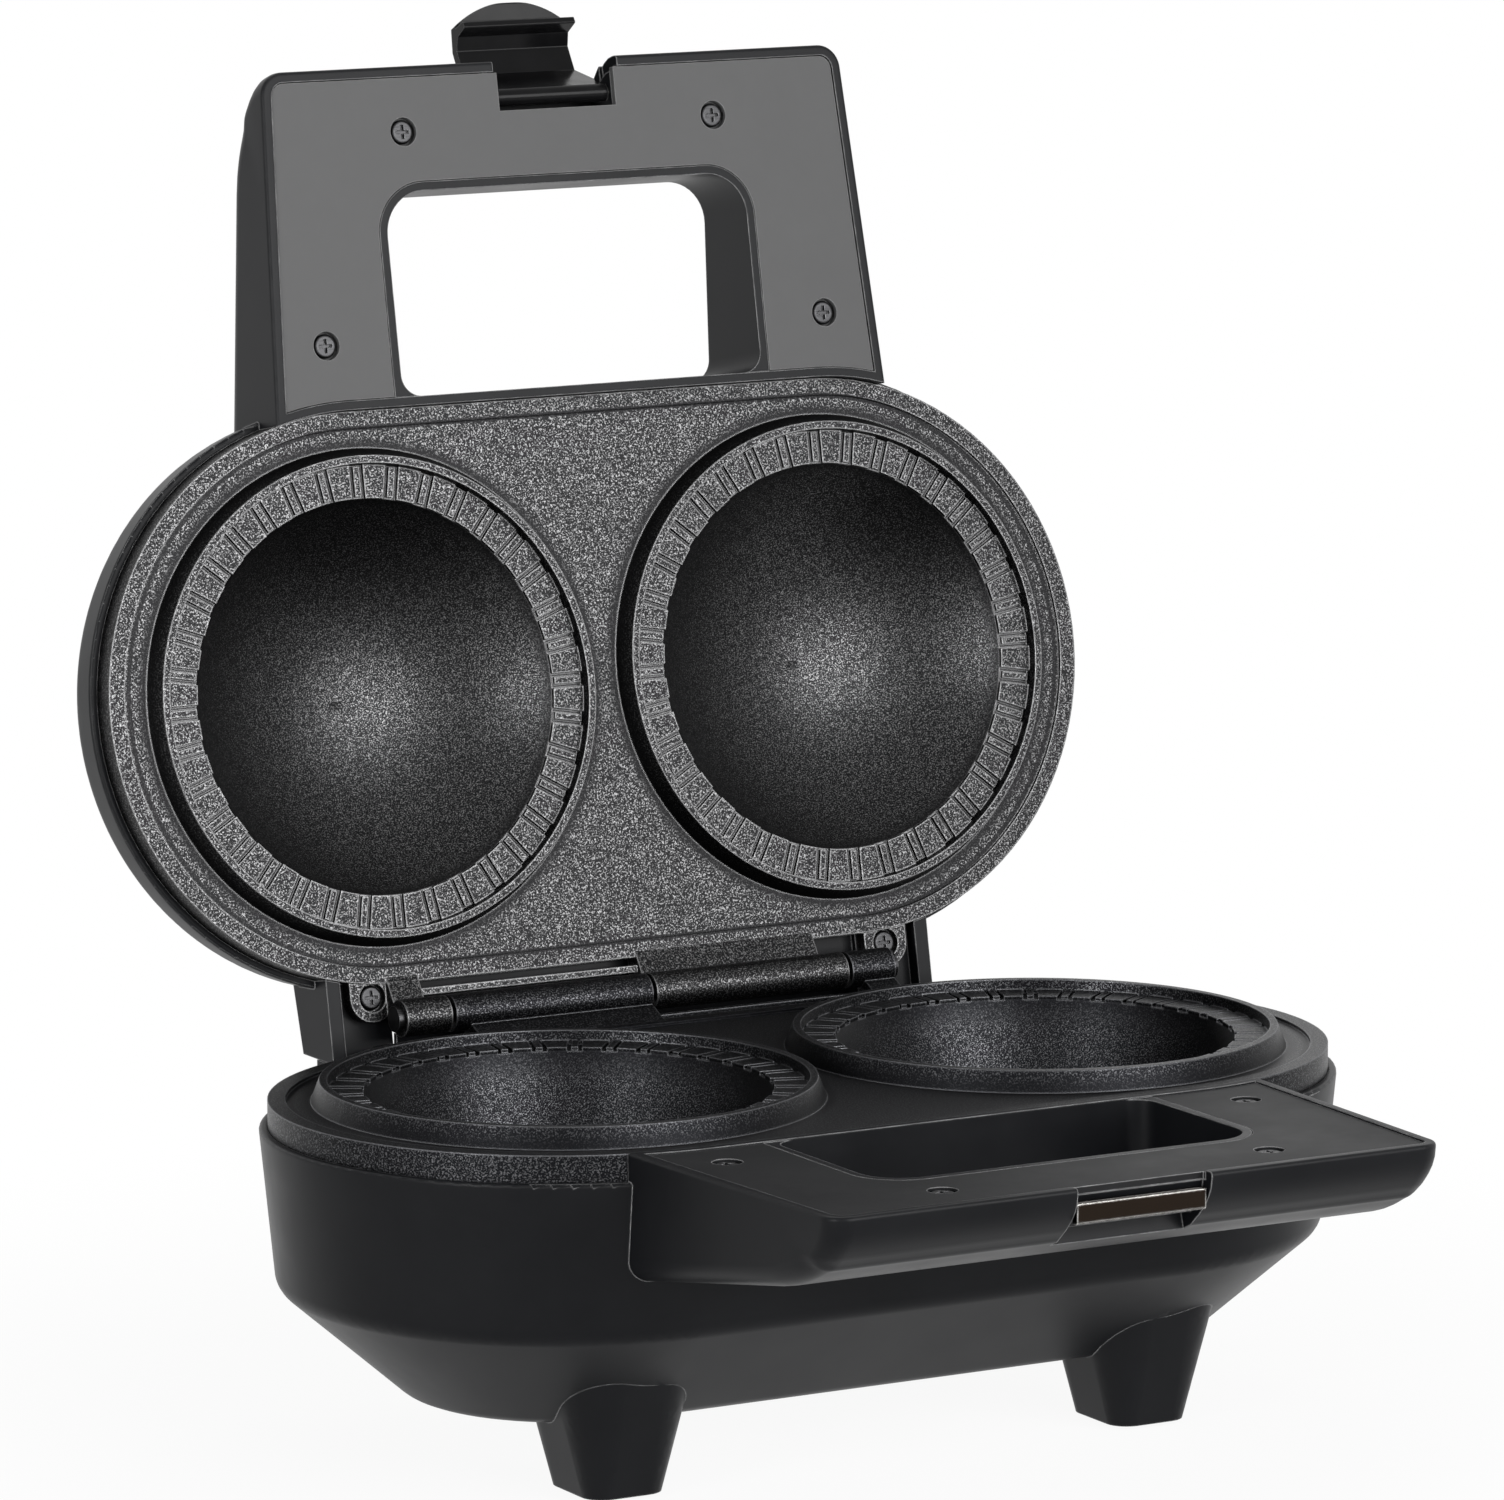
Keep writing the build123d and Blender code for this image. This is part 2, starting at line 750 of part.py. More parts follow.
# ---- base housing --------------------------------------------------------------------------------------
base_tub = tub_form(lower, base_wall_height, base_slope_height, base_slope)
base_tub_hollow = tub_form(lower, base_wall_height, base_slope_height, base_slope, housing_wall)
base_grip = handle_form(lower, base_rim, base_handle_root_depth, base_handle_tip_depth)
base_grip_hollow = grip_hollow(lower, base_rim, base_handle_root_depth, base_handle_tip_depth, base_tub)
base_fittings = grip_fittings(lower, base_rim, base_grip)
recess_top = base_cover_back - contact_gap
keeper_backing = base_grip & box_block(
    lower,
    (-recess_half - backing_wall, recess_half + backing_wall),
    (recess_back - backing_depth, handle_reach - handle_wall / 2),
    (-beyond, recess_top),
)
stop_front = lug_middle - lug_radius - seat_gap
base_ear = (
    (wall_inside, ear_top),
    (stop_front, ear_top),
    (stop_front, -stop_drop),
    (-stop_reach, -stop_drop),
    (-stop_reach, -stop_drop - ear_height / 2),
    (wall_inside, ear_top - 2 * ear_height),
)
tongue_level = -(keeper_top + keeper_bottom) / 2


def leg(place, size, spread, root):
    """Adds one pair of legs that widen upwards into the tub, hollow inside and closed at the foot."""
    with BuildSketch(level(lower, leg_end)) as foot:
        with Locations(*both_sides([place])):
            RectangleRounded(size[0], size[1], leg_corner)
    extrude(foot.sketch, amount=-root - leg_end, taper=-spread)


def leg_hollow(place, size, spread, root):
    """Hollows one pair of legs from inside the tub."""
    with BuildSketch(level(lower, leg_end + leg_floor)) as foot:
        with Locations(*both_sides([place])):
            RectangleRounded(size[0] - 2 * leg_wall, size[1] - 2 * leg_wall, leg_corner - leg_wall)
    extrude(foot.sketch, amount=-root - leg_end - leg_floor, taper=-spread, mode=Mode.SUBTRACT)


pad_places = both_sides([front_leg, back_leg])
base_posts = rod_block(lower, post_places, base_post_radius, base_floor, base_post_top) & base_tub
base_post_seat = base_post_top - base_post_grip

panel_low = -gland_drop - panel_half
panel_slot = box_block(
    lower,
    (gland_across - panel_half, gland_across + panel_half),
    (gland_seat - 1, gland_seat + gland_length + 1),
    (panel_low, 1),
)

with BuildPart() as base_housing:
    add(base_tub)
    add(base_grip)
    ear(lower, base_ear, ear_inner, ear_outer)
    add(base_grip_hollow, mode=Mode.SUBTRACT)
    add(base_fittings)
    add(keeper_backing)
    leg(front_leg, front_leg_size, front_leg_spread, front_leg_root)
    leg(back_leg, back_leg_size, back_leg_spread, back_leg_root)
    add(base_tub_hollow, mode=Mode.SUBTRACT)
    leg_hollow(front_leg, front_leg_size, front_leg_spread, front_leg_root)
    leg_hollow(back_leg, back_leg_size, back_leg_spread, back_leg_root)
    add(pill_block(lower, rebate_radius, rebate, 1), mode=Mode.SUBTRACT)
    add(opening_block(lower, -beyond, 1), mode=Mode.SUBTRACT)
    add(
        box_block(lower, (-recess_half, recess_half), (recess_back, beyond), (-recess_bottom, 1)),
        mode=Mode.SUBTRACT,
    )
    add(
        box_block(
            lower,
            (-recess_half, recess_half),
            (handle_reach - scoop_depth, beyond),
            (-beyond, -recess_bottom),
        ),
        mode=Mode.SUBTRACT,
    )
    add(
        box_block(
            lower,
            (-keeper_tongue_half - contact_gap, keeper_tongue_half + contact_gap),
            (recess_back - keeper_tongue, recess_back + 1),
            (
                tongue_level - keeper_tongue_thickness / 2 - contact_gap,
                tongue_level + keeper_tongue_thickness / 2 + contact_gap,
            ),
        ),
        mode=Mode.SUBTRACT,
    )
    add(base_posts)
    screw_bores(lower, post_places, base_post_top, beyond)
    round_bores(lower, post_places, screw_head_radius + head_gap, base_post_seat, beyond)
    add(panel_slot, mode=Mode.SUBTRACT)
    screw_bores(lower, lug_places, ear_top, screw_length)
    screw_bores(lower, cover_places, base_rim, head_sink + cover_thickness + screw_length)
    socket_top = table + pad_thickness + contact_gap
    round_bores(lower, pad_places, pad_radius + contact_gap, socket_top, pad_thickness)

with BuildPart() as cord_panel:
    add(base_tub)
    add(base_tub_hollow, mode=Mode.SUBTRACT)
    add(pill_block(lower, rebate_radius, rebate, 1), mode=Mode.SUBTRACT)
    add(
        box_block(
            lower,
            (gland_across - panel_half + panel_gap, gland_across + panel_half - panel_gap),
            (gland_seat - 1, gland_seat + gland_length + 1),
            (panel_low + panel_gap, 1),
        ),
        mode=Mode.INTERSECT,
    )
    with BuildSketch(facing(lower, gland_seat)):
        with Locations((-gland_across, -gland_drop)):
            Circle(gland_boss_radius)
    extrude(amount=gland_length)
    with BuildSketch(facing(lower, gland_seat)):
        with Locations((-gland_across, -gland_drop)):
            Circle(gland_body_radius + gland_fit)
    extrude(amount=gland_length, mode=Mode.SUBTRACT)

with BuildPart() as foot_pads:
    with BuildSketch(level(lower, table)):
        with Locations(*pad_places):
            Circle(pad_radius)
    extrude(amount=pad_thickness)


# ---- handle covers -------------------------------------------------------------------------------------
def handle_cover(side, rim_level, notch_half, notch_back):
    """Flat cover of one handle, with sunk screw wells and a notch for the latch or its keeper."""
    top = rim_level - cover_drop
    opening = opening_block(side, -beyond, 1, opening_lip + cover_gap)
    with BuildPart() as cover:
        with BuildSketch(level(side, top)):
            handle_plan(handle_wall + cover_gap)
            pill(handle_back_radius + cover_gap, mode=Mode.SUBTRACT)
        extrude(amount=-cover_thickness)
        corners = cover.part.edges().filter_by(rise(side)).sort_by(forward(side))[-2:]
        fillet(corners, handle_corner - handle_wall - cover_gap)
        with BuildSketch(level(side, top)):
            with Locations(*cover_places):
                Circle(boss_radius)
        extrude(amount=-head_sink - cover_thickness)
        round_bores(side, cover_places, screw_head_radius + head_gap, top, head_sink)
        screw_bores(side, cover_places, top, head_sink + cover_thickness)
        add(opening, mode=Mode.SUBTRACT)
        notch = box_block(side, (-notch_half, notch_half), (notch_back, beyond), (-beyond, 1))
        add(notch, mode=Mode.SUBTRACT)
    return cover


lid_handle_cover = handle_cover(upper, lid_rim, slot_half, slot_back)
base_handle_cover = handle_cover(lower, base_rim, recess_half, recess_back)


# ---- screws --------------------------------------------------------------------------------------------
def pan_screws(side, places, seat, length, points=-1):
    """Pan-head screws with cross recesses, heads resting at a level and shanks running down from it."""
    head_end = seat - points * screw_head
    with BuildPart() as screws:
        with BuildSketch(level(side, seat)):
            with Locations(*places):
                Circle(screw_head_radius)
        extrude(amount=head_end - seat)
        fillet(seam(screws.part, side, head_end), screw_head_round)
        with BuildSketch(level(side, head_end)):
            with Locations(*places):
                Rectangle(cross_length, cross_width)
                Rectangle(cross_width, cross_length)
        extrude(amount=points * cross_depth, mode=Mode.SUBTRACT)
        with BuildSketch(level(side, seat)):
            with Locations(*places):
                Circle(screw_radius)
        extrude(amount=points * length)
    return screws


lower_plate_screws = pan_screws(lower, lug_places, lug_seat + contact_gap, screw_length - 1)
upper_plate_screws = pan_screws(upper, lug_places, lug_seat + contact_gap, screw_length - 1)
lid_cover_seat = lid_rim - cover_drop - head_sink + contact_gap
base_cover_seat = base_rim - cover_drop - head_sink + contact_gap
lid_cover_screws = pan_screws(upper, cover_places, lid_cover_seat, screw_length)
base_cover_screws = pan_screws(lower, cover_places, base_cover_seat, screw_length)
shield_seat = upper_shield_top - shield_thickness - 2 * contact_gap
shield_screws = pan_screws(upper, post_places, shield_seat, screw_length - 1, points=1)
base_screws = pan_screws(lower, post_places, base_post_seat - contact_gap, long_screw_length, points=1)

# ---- latch ---------------------------------------------------------------------------------------------
latch_at = upper.from_local_coords((0, latch_forward, -latch_drop))
open_turn = radians(-latch_swing)
latch_front = upper.y_dir * cos(open_turn) + upper.z_dir * sin(open_turn)
latch_section = Plane(origin=latch_at, x_dir=latch_front, z_dir=upper.x_dir)
latch_outline = Plane(origin=latch_at, x_dir=upper.x_dir, z_dir=-latch_front)

with BuildPart() as latch:
    with BuildSketch(latch_section):
        with BuildLine():
            Polyline(
                (0.7 * latch_hub, -0.7 * latch_hub),
                (claw_reach + claw_thickness - 0.5, claw_start - 0.5),
                (claw_reach + claw_thickness, claw_end + 0.5),
                (claw_reach + 0.4, hook_level + hook_thickness),
                (thumb_reach + thumb_thickness / 2, thumb_end),
                (thumb_reach - thumb_thickness / 2, thumb_end),
                (claw_reach - 1.4, hook_level + hook_thickness),
                (hook_reach + 0.3, hook_level + hook_thickness),
                (hook_reach, hook_level),
                (claw_reach - 1.8, hook_level - 0.6),
                (claw_reach, claw_end),
                (claw_reach - 0.5, claw_start),
                (-0.7 * latch_hub, 0.7 * latch_hub),
                close=True,
            )
        profile = make_face()
        fillet(profile.vertices(), latch_round)
        Circle(latch_hub)
    extrude(amount=latch_half, both=True)
    with BuildSketch(latch_outline):
        with BuildLine():
            ThreePointArc((-latch_half, thumb_shoulder), (0, thumb_end), (latch_half, thumb_shoulder))
            Polyline(
                (latch_half, thumb_shoulder),
                (latch_half, -2 * latch_hub),
                (-latch_half, -2 * latch_hub),
                (-latch_half, thumb_shoulder),
            )
        make_face()
    extrude(amount=beyond, both=True, mode=Mode.INTERSECT)
    with BuildSketch(latch_section):
        Circle(latch_pin_radius + running_gap)
    extrude(amount=latch_half, both=True, mode=Mode.SUBTRACT)

with BuildPart() as latch_pin:
    with BuildSketch(across(upper)):
        with Locations((latch_forward, -latch_drop)):
            Circle(latch_pin_radius)
    extrude(amount=cheek_half - contact_gap, both=True)

keeper_back = recess_back + contact_gap
with BuildPart() as latch_keeper:
    with BuildSketch(level(lower, -keeper_bottom)):
        with Locations((0, (keeper_back + keeper_face) / 2)):
            Rectangle(2 * keeper_half, keeper_face - keeper_back)
    extrude(amount=keeper_bottom - keeper_top)
    chamfer(latch_keeper.part.edges().filter_by(Axis.X).sort_by(forward(lower))[-2:], 0.4)
    with BuildSketch(level(lower, tongue_level - keeper_tongue_thickness / 2)):
        with Locations((0, (keeper_back + recess_back - keeper_tongue + contact_gap) / 2)):
            Rectangle(2 * keeper_tongue_half, keeper_tongue)
    extrude(amount=keeper_tongue_thickness)


# ---- heating rods, shields and controls ----------------------------------------------------------------
def heating_rod(side, seat):
    """Sheathed rod bent to an open pill below its seat, with a cold pin at each end."""
    centre = seat - contact_gap - rod_radius
    back = plate_middle - rod_turn
    front = plate_middle + rod_turn
    turn = pocket_spacing / 2
    with BuildPart() as rod:
        with BuildLine(level(side, centre)) as route:
            Line((rod_opening / 2, back), (turn, back))
            CenterArc((turn, plate_middle), rod_turn, -90, 180)
            Line((turn, front), (-turn, front))
            CenterArc((-turn, plate_middle), rod_turn, 90, 180)
            Line((-turn, back), (-rod_opening / 2, back))
        with BuildSketch(across(side, rod_opening / 2)):
            with Locations((back, centre)):
                Circle(rod_radius)
        sweep(path=route.line)
        for start in (rod_opening / 2 - rod_pin, -rod_opening / 2 - 1):
            with BuildSketch(across(side, start)):
                with Locations((back, centre)):
                    Circle(rod_pin_radius)
            extrude(amount=rod_pin + 1)
    return rod


def heat_shield(side, top):
    """Shallow pressed tray that lies below the heating rod."""
    with BuildPart() as shield:
        with BuildSketch(level(side, top - shield_thickness)):
            pill(shield_radius)
        extrude(amount=shield_thickness + shield_rim)
        with BuildSketch(level(side, top)):
            pill(shield_radius - shield_thickness)
        extrude(amount=shield_rim, mode=Mode.SUBTRACT)
        screw_bores(side, post_places, top, shield_thickness)
    return shield


upper_element = heating_rod(upper, dome_back)
lower_element = heating_rod(lower, well_back)
upper_heat_shield = heat_shield(upper, upper_shield_top - contact_gap)
lower_heat_shield = heat_shield(lower, lower_shield_top - contact_gap)

under_plate = plate_back - contact_gap
with BuildPart() as thermostat:
    with BuildSketch(level(lower, under_plate)):
        with Locations((0, plate_middle)):
            Circle(thermostat_radius)
    extrude(amount=-thermostat_height)
    with BuildSketch(level(lower, under_plate - thermostat_height)):
        with Locations((0, plate_middle)):
            Circle(thermostat_cap_radius)
    extrude(amount=-thermostat_cap)

with BuildPart() as thermal_fuse:
    for radius, half in ((fuse_radius, fuse_length / 2), (fuse_lead_radius, fuse_length / 2 + fuse_lead)):
        with BuildSketch(across(lower)):
            with Locations((fuse_forward, under_plate - fuse_radius)):
                Circle(radius)
        extrude(amount=half, both=True)

base_floor_inside = base_floor + housing_wall + contact_gap
with BuildPart() as terminal_block:
    with BuildSketch(level(lower, base_floor_inside)):
        with Locations((0, terminal_forward)):
            Rectangle(terminal_size[0], terminal_size[1])
    extrude(amount=terminal_size[2])
    with BuildSketch(level(lower, base_floor_inside + terminal_size[2])):
        with Locations((0, terminal_forward)):
            with GridLocations(terminal_size[0] / 3, 1, 3, 1):
                Circle(terminal_bore)
    extrude(amount=-terminal_bore_depth, mode=Mode.SUBTRACT)

with BuildPart() as cord_gland:
    with BuildSketch(facing(lower, gland_seat - contact_gap)):
        with Locations((-gland_across, -gland_drop)):
            Circle(gland_flange_radius)
    extrude(amount=-gland_flange)
    with BuildSketch(facing(lower, gland_seat - contact_gap)):
        with Locations((-gland_across, -gland_drop)):
            Circle(gland_body_radius)
    extrude(amount=gland_length)
    with BuildSketch(facing(lower, gland_seat)):
        with Locations((-gland_across, -gland_drop)):
            Circle(gland_bore)
    extrude(amount=gland_length + gland_flange, both=True, mode=Mode.SUBTRACT)

# ---- indicator lights ----------------------------------------------------------------------------------
lid_roof_inside = lid_roof + housing_wall + contact_gap


def indicator_lens(u):
    """Clear lens through the lid's roof, with a flange inside."""
    with BuildPart() as lens:
        with BuildSketch(level(upper, lid_roof - lens_proud)):
            with Locations((u, lens_forward)):
                Circle(lens_radius)
        extrude(amount=lens_proud + housing_wall + lens_flange)
        fillet(seam(lens.part, upper, lid_roof - lens_proud), lens_proud * 0.9)
        with BuildSketch(level(upper, lid_roof_inside)):
            with Locations((u, lens_forward)):
                Circle(lens_flange_radius)
        extrude(amount=lens_flange)
    return lens


power_lens = indicator_lens(-lens_spacing / 2)
ready_lens = indicator_lens(lens_spacing / 2)

lamp_level = lid_roof_inside + lens_flange + contact_gap + lamp_radius
with BuildPart() as indicator_lamps:
    with BuildSketch(facing(upper, lens_forward)):
        with Locations((-lens_spacing / 2, lamp_level), (lens_spacing / 2, lamp_level)):
            Circle(lamp_radius)
    extrude(amount=lamp_length / 2, both=True)

# ---- finished pieces -----------------------------------------------------------------------------------
pieces = {
    "base_housing": base_housing,
    "base_handle_cover": base_handle_cover,
    "base_cover_screws": base_cover_screws,
    "foot_pads": foot_pads,
    "latch_keeper": latch_keeper,
    "lower_plate": lower_plate,
    "lower_plate_screws": lower_plate_screws,
    "lower_element": lower_element,
    "lower_heat_shield": lower_heat_shield,
    "base_screws": base_screws,
    "thermostat": thermostat,
    "thermal_fuse": thermal_fuse,
    "terminal_block": terminal_block,
    "cord_panel": cord_panel,
    "cord_gland": cord_gland,
    "hinge_pin": hinge_pin,
    "lid_housing": lid_housing,
    "lid_handle_cover": lid_handle_cover,
    "lid_cover_screws": lid_cover_screws,
    "upper_plate": upper_plate,
    "upper_plate_screws": upper_plate_screws,
    "upper_element": upper_element,
    "upper_heat_shield": upper_heat_shield,
    "shield_screws": shield_screws,
    "power_lens": power_lens,
    "ready_lens": ready_lens,
    "indicator_lamps": indicator_lamps,
    "latch_pin": latch_pin,
    "latch": latch,
}
for name, piece in pieces.items():
    piece.part.label = name
    export_step(piece.part, f"parts/{name}.step")
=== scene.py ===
# %% [markdown]
# # An electric pie maker in the studio
# The cast and moulded pieces of this cooker come from a CAD model that was packed as one GLB file. This
# notebook gives each piece the finish that it has on the real object, adds the small trim that the CAD
# model leaves out, and builds a plain studio to look at it in. Everything is in metres and +Z is up. The
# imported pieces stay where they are. Only the noses of the two handles get a new shape, on copies of their
# housings.

import json
import math

import bmesh
import bpy
from mathutils import Matrix, Vector


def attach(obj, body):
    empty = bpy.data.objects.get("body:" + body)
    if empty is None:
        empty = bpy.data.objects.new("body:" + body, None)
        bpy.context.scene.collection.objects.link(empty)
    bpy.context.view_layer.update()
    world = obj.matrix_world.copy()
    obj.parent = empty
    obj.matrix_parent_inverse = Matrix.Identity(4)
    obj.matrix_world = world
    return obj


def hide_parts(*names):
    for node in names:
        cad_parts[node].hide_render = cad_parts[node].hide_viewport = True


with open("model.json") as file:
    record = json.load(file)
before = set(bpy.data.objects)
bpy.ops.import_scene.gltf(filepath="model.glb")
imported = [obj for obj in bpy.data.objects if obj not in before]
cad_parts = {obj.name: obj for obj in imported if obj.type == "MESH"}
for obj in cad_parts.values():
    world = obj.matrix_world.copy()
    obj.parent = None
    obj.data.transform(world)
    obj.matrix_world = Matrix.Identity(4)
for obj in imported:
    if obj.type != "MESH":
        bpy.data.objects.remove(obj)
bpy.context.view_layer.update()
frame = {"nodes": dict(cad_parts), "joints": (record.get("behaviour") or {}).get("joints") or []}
pieces = frame["nodes"]
print("packed pieces:", len(pieces))

# %% [markdown]
# ## Where things are
# The hinge runs left to right behind the lower plate. Measuring from it keeps every number short: u runs
# across, v runs from the hinge towards the handle, and w rises from the hinge towards the food. One
# function per half turns such a place into a point of the scene. The lid stands open, so its half is turned
# back.

# %% Places on the two halves
MM = 0.001
hinge = Vector(frame["joints"][0]["pos_m"])
lid_open = math.radians(frame["joints"][0]["range_deg"][1])


def on_base(u, v, w):
    """A point of the base half, from millimetres across, forward and up."""
    return hinge + Vector((u, -v, w)) * MM


def on_lid(u, v, w):
    """A point of the opened lid half, from millimetres across, forward and towards the food."""
    back = v * math.cos(lid_open) + w * math.sin(lid_open)
    high = v * math.sin(lid_open) - w * math.cos(lid_open)
    return hinge + Vector((u, -back, high)) * MM


print("hinge at", [round(c, 4) for c in hinge], "lid open by", round(math.degrees(lid_open), 1))

# %% [markdown]
# ## Wiring shader nodes by hand
# A finish is a small graph of nodes. Written out link by link it fills a page, so a few helpers do the
# wiring: one adds a node and fills its inputs with numbers or with other nodes' outputs, and one starts a
# node group with its own named inputs and outputs. Groups are the reusable effects, and every finish below
# borrows them.

# %% Helpers for node trees
def node(tree, kind, wires=(), **settings):
    """Adds a node, applies its settings, then fills its inputs with values or with links."""
    made = tree.nodes.new("ShaderNode" + kind)
    for name, value in settings.items():
        setattr(made, name, value)
    for socket, value in dict(wires).items():
        if isinstance(value, bpy.types.NodeSocket):
            tree.links.new(value, made.inputs[socket])
        else:
            made.inputs[socket].default_value = value
    return made


def effect(name, inputs, outputs):
    """Starts a node group, and returns its tree, its input sockets and its output node."""
    tree = bpy.data.node_groups.new(name, "ShaderNodeTree")
    for title, value in inputs.items():
        socket = tree.interface.new_socket(title, in_out="INPUT", socket_type="NodeSocketFloat")
        socket.default_value = value
    for title in outputs:
        tree.interface.new_socket(title, in_out="OUTPUT", socket_type="NodeSocketFloat")
    print("effect:", name)
    return tree, tree.nodes.new("NodeGroupInput").outputs, tree.nodes.new("NodeGroupOutput")


# %% [markdown]
# The steps that come back most often get a short name each: sums on numbers and on vectors, a ramp, a mix
# of two colours, and a noise, which is the cloudy pattern that most of the effects start from.

# %% Helpers for common steps
NOISE_SPAN = (0.3, 0.7)


def maths(tree, operation, *values, clamp=False):
    """One sum on numbers or on nodes' outputs."""
    made = node(tree, "Math", dict(enumerate(values)), operation=operation, use_clamp=clamp)
    return made.outputs[0]


def vectors(tree, operation, *values):
    """One sum on vectors, which gives a vector, or a number for a length or a dot product."""
    made = node(tree, "VectorMath", dict(enumerate(values)), operation=operation)
    return made.outputs["Value" if operation in ("LENGTH", "DOT_PRODUCT") else "Vector"]


def ramp(tree, value, start, end):
    """Goes from 0 at start to 1 at end. Start may be the larger of the two."""
    return node(tree, "MapRange", {0: value, 1: start, 2: end}).outputs[0]


def spread(tree, value, low, high):
    """Maps a value of 0 to 1 onto the range from low to high."""
    return node(tree, "MapRange", {0: value, 3: low, 4: high}).outputs[0]


def blend(tree, mask, first, second):
    """Mixes two colours by a mask."""
    wires = {0: mask, 6: first, 7: second}
    return node(tree, "Mix", wires, data_type="RGBA").outputs[2]


def millimetres(tree):
    """Places on the object in millimetres, so that a grain's size can be given as it is measured."""
    place = node(tree, "TexCoord").outputs["Object"]
    return node(tree, "VectorMath", {0: place, 3: 1 / MM}, operation="SCALE").outputs[0]


def noise(tree, place, per_mm, detail, roughness=0.5):
    """A cloudy pattern, most of whose values lie in NOISE_SPAN. Detail adds finer clouds."""
    wires = {"Vector": place, "Scale": per_mm, "Detail": detail, "Roughness": roughness}
    return node(tree, "TexNoise", wires).outputs[0]


# %% [markdown]
# ## Effect: sprayed grain
# A non-stick coating is sprayed on and baked, and it dries to a dense, fine grain that catches the light as
# tiny bright specks. A picture of grain would blur or repeat, so noise in the object's own space is used:
# it has the same size on every piece. The specks are the tops of the noise, and its height feeds a bump. A
# higher density lets lower parts of the noise count as tops.

# %% Build the sprayed grain
sparse_start = 0.66
start_per_density = -0.24
speck_fade = 0.16
grain, given, result = effect("Sprayed grain", {"Size mm": 0.6, "Density": 0.5}, ["Specks", "Height"])
per_mm = maths(grain, "DIVIDE", 1.0, given["Size mm"])
height = noise(grain, millimetres(grain), per_mm, detail=2.0, roughness=0.6)
start = maths(grain, "MULTIPLY_ADD", given["Density"], start_per_density, sparse_start)
end = maths(grain, "ADD", start, speck_fade)
grain.links.new(ramp(grain, height, start, end), result.inputs["Specks"])
grain.links.new(height, result.inputs["Height"])

# %% [markdown]
# ## Effect: moulded texture
# The mould of a plastic housing is spark-eroded, which leaves a very fine matt texture and faint clouds
# where the plastic cooled at different speeds. Two noises of different size give both: the fine one is a
# height, and the wide one is a tone that shifts the colour and the gloss a little.

# %% Build the moulded texture
moulded, given, result = effect("Moulded texture", {"Size mm": 0.35, "Cloud mm": 30.0}, ["Height", "Tone"])
per_mm = maths(moulded, "DIVIDE", 1.0, given["Size mm"])
height = noise(moulded, millimetres(moulded), per_mm, detail=1.0)
per_mm = maths(moulded, "DIVIDE", 1.0, given["Cloud mm"])
clouds = noise(moulded, millimetres(moulded), per_mm, detail=4.0, roughness=0.6)
moulded.links.new(height, result.inputs["Height"])
moulded.links.new(ramp(moulded, clouds, *NOISE_SPAN), result.inputs["Tone"])

# %% [markdown]
# ## Effect: edge wear and painted highlight
# Hands and cloths polish the corners of a product first, and the finishes also use this mask to paint bright
# highlight lines along edges. The Bevel node gives the normal that a corner would have if it were rounded,
# and where that differs from the true normal there is an edge. A noise breaks the line up, because wear is
# never even.

# %% Build the edge wear and painted highlight
flat_match = 0.995
corner_match = 0.8
patches_per_mm = 0.25
patch_span = (0.35, 0.65)
wear_and_highlight, given, result = effect("Edge wear and painted highlight", {"Width mm": 0.5, "Patches": 0.5}, ["Mask"])
width = maths(wear_and_highlight, "MULTIPLY", given["Width mm"], MM)
rounded = node(wear_and_highlight, "Bevel", {"Radius": width}, samples=4).outputs[0]
match = vectors(wear_and_highlight, "DOT_PRODUCT", rounded, node(wear_and_highlight, "NewGeometry").outputs["Normal"])
corner = ramp(wear_and_highlight, match, flat_match, corner_match)
rub = ramp(wear_and_highlight, noise(wear_and_highlight, millimetres(wear_and_highlight), patches_per_mm, detail=5.0), *patch_span)
patchy = node(wear_and_highlight, "Mix", {0: given["Patches"], 2: 1.0, 3: rub}).outputs[0]
wear_and_highlight.links.new(maths(wear_and_highlight, "MULTIPLY", corner, patchy), result.inputs["Mask"])

# %% [markdown]
# ## Effect: drawn metal
# Steel bar and sheet are drawn or rolled, and keep fine straight lines along their length. Noise stretched
# along one direction gives such lines, as a tone for the roughness and as a height.

# %% Build the drawn metal
drawn, given, result = effect("Drawn metal", {"Line mm": 0.2, "Length mm": 12.0}, ["Lines"])
across = maths(drawn, "DIVIDE", 1.0, given["Line mm"])
along = maths(drawn, "DIVIDE", 1.0, given["Length mm"])
stretch = node(drawn, "CombineXYZ", {0: along, 1: across, 2: across}).outputs[0]
place = vectors(drawn, "MULTIPLY", millimetres(drawn), stretch)
lines = noise(drawn, place, 1.0, detail=2.0)
drawn.links.new(ramp(drawn, lines, *NOISE_SPAN), result.inputs["Lines"])


# %% [markdown]
# ## How a finish is put together
# Each finish is one material with one Principled shader. A number that is the same all over the piece is
# set on the shader's own socket, and only what varies over the surface comes in through a link. One helper
# starts such a material, one places an effect in it with that finish's own sizes, and one adds the relief.

# %% Helpers for finishes
def finish(name, **constants):
    """A new material: returns it, its tree and its shader, with the shader's constants set."""
    made = bpy.data.materials.new(name)
    made.use_nodes = True
    shader = made.node_tree.nodes["Principled BSDF"]
    for socket, value in constants.items():
        shader.inputs[socket.replace("_", " ")].default_value = value
    print("finish:", name)
    return made, made.node_tree, shader


def place_effect(tree, group, **values):
    """Puts a node group in a material with its own values, and returns its outputs."""
    made = tree.nodes.new("ShaderNodeGroup")
    made.node_tree = group
    for socket, value in values.items():
        made.inputs[socket.replace("_", " ")].default_value = value
    return made.outputs


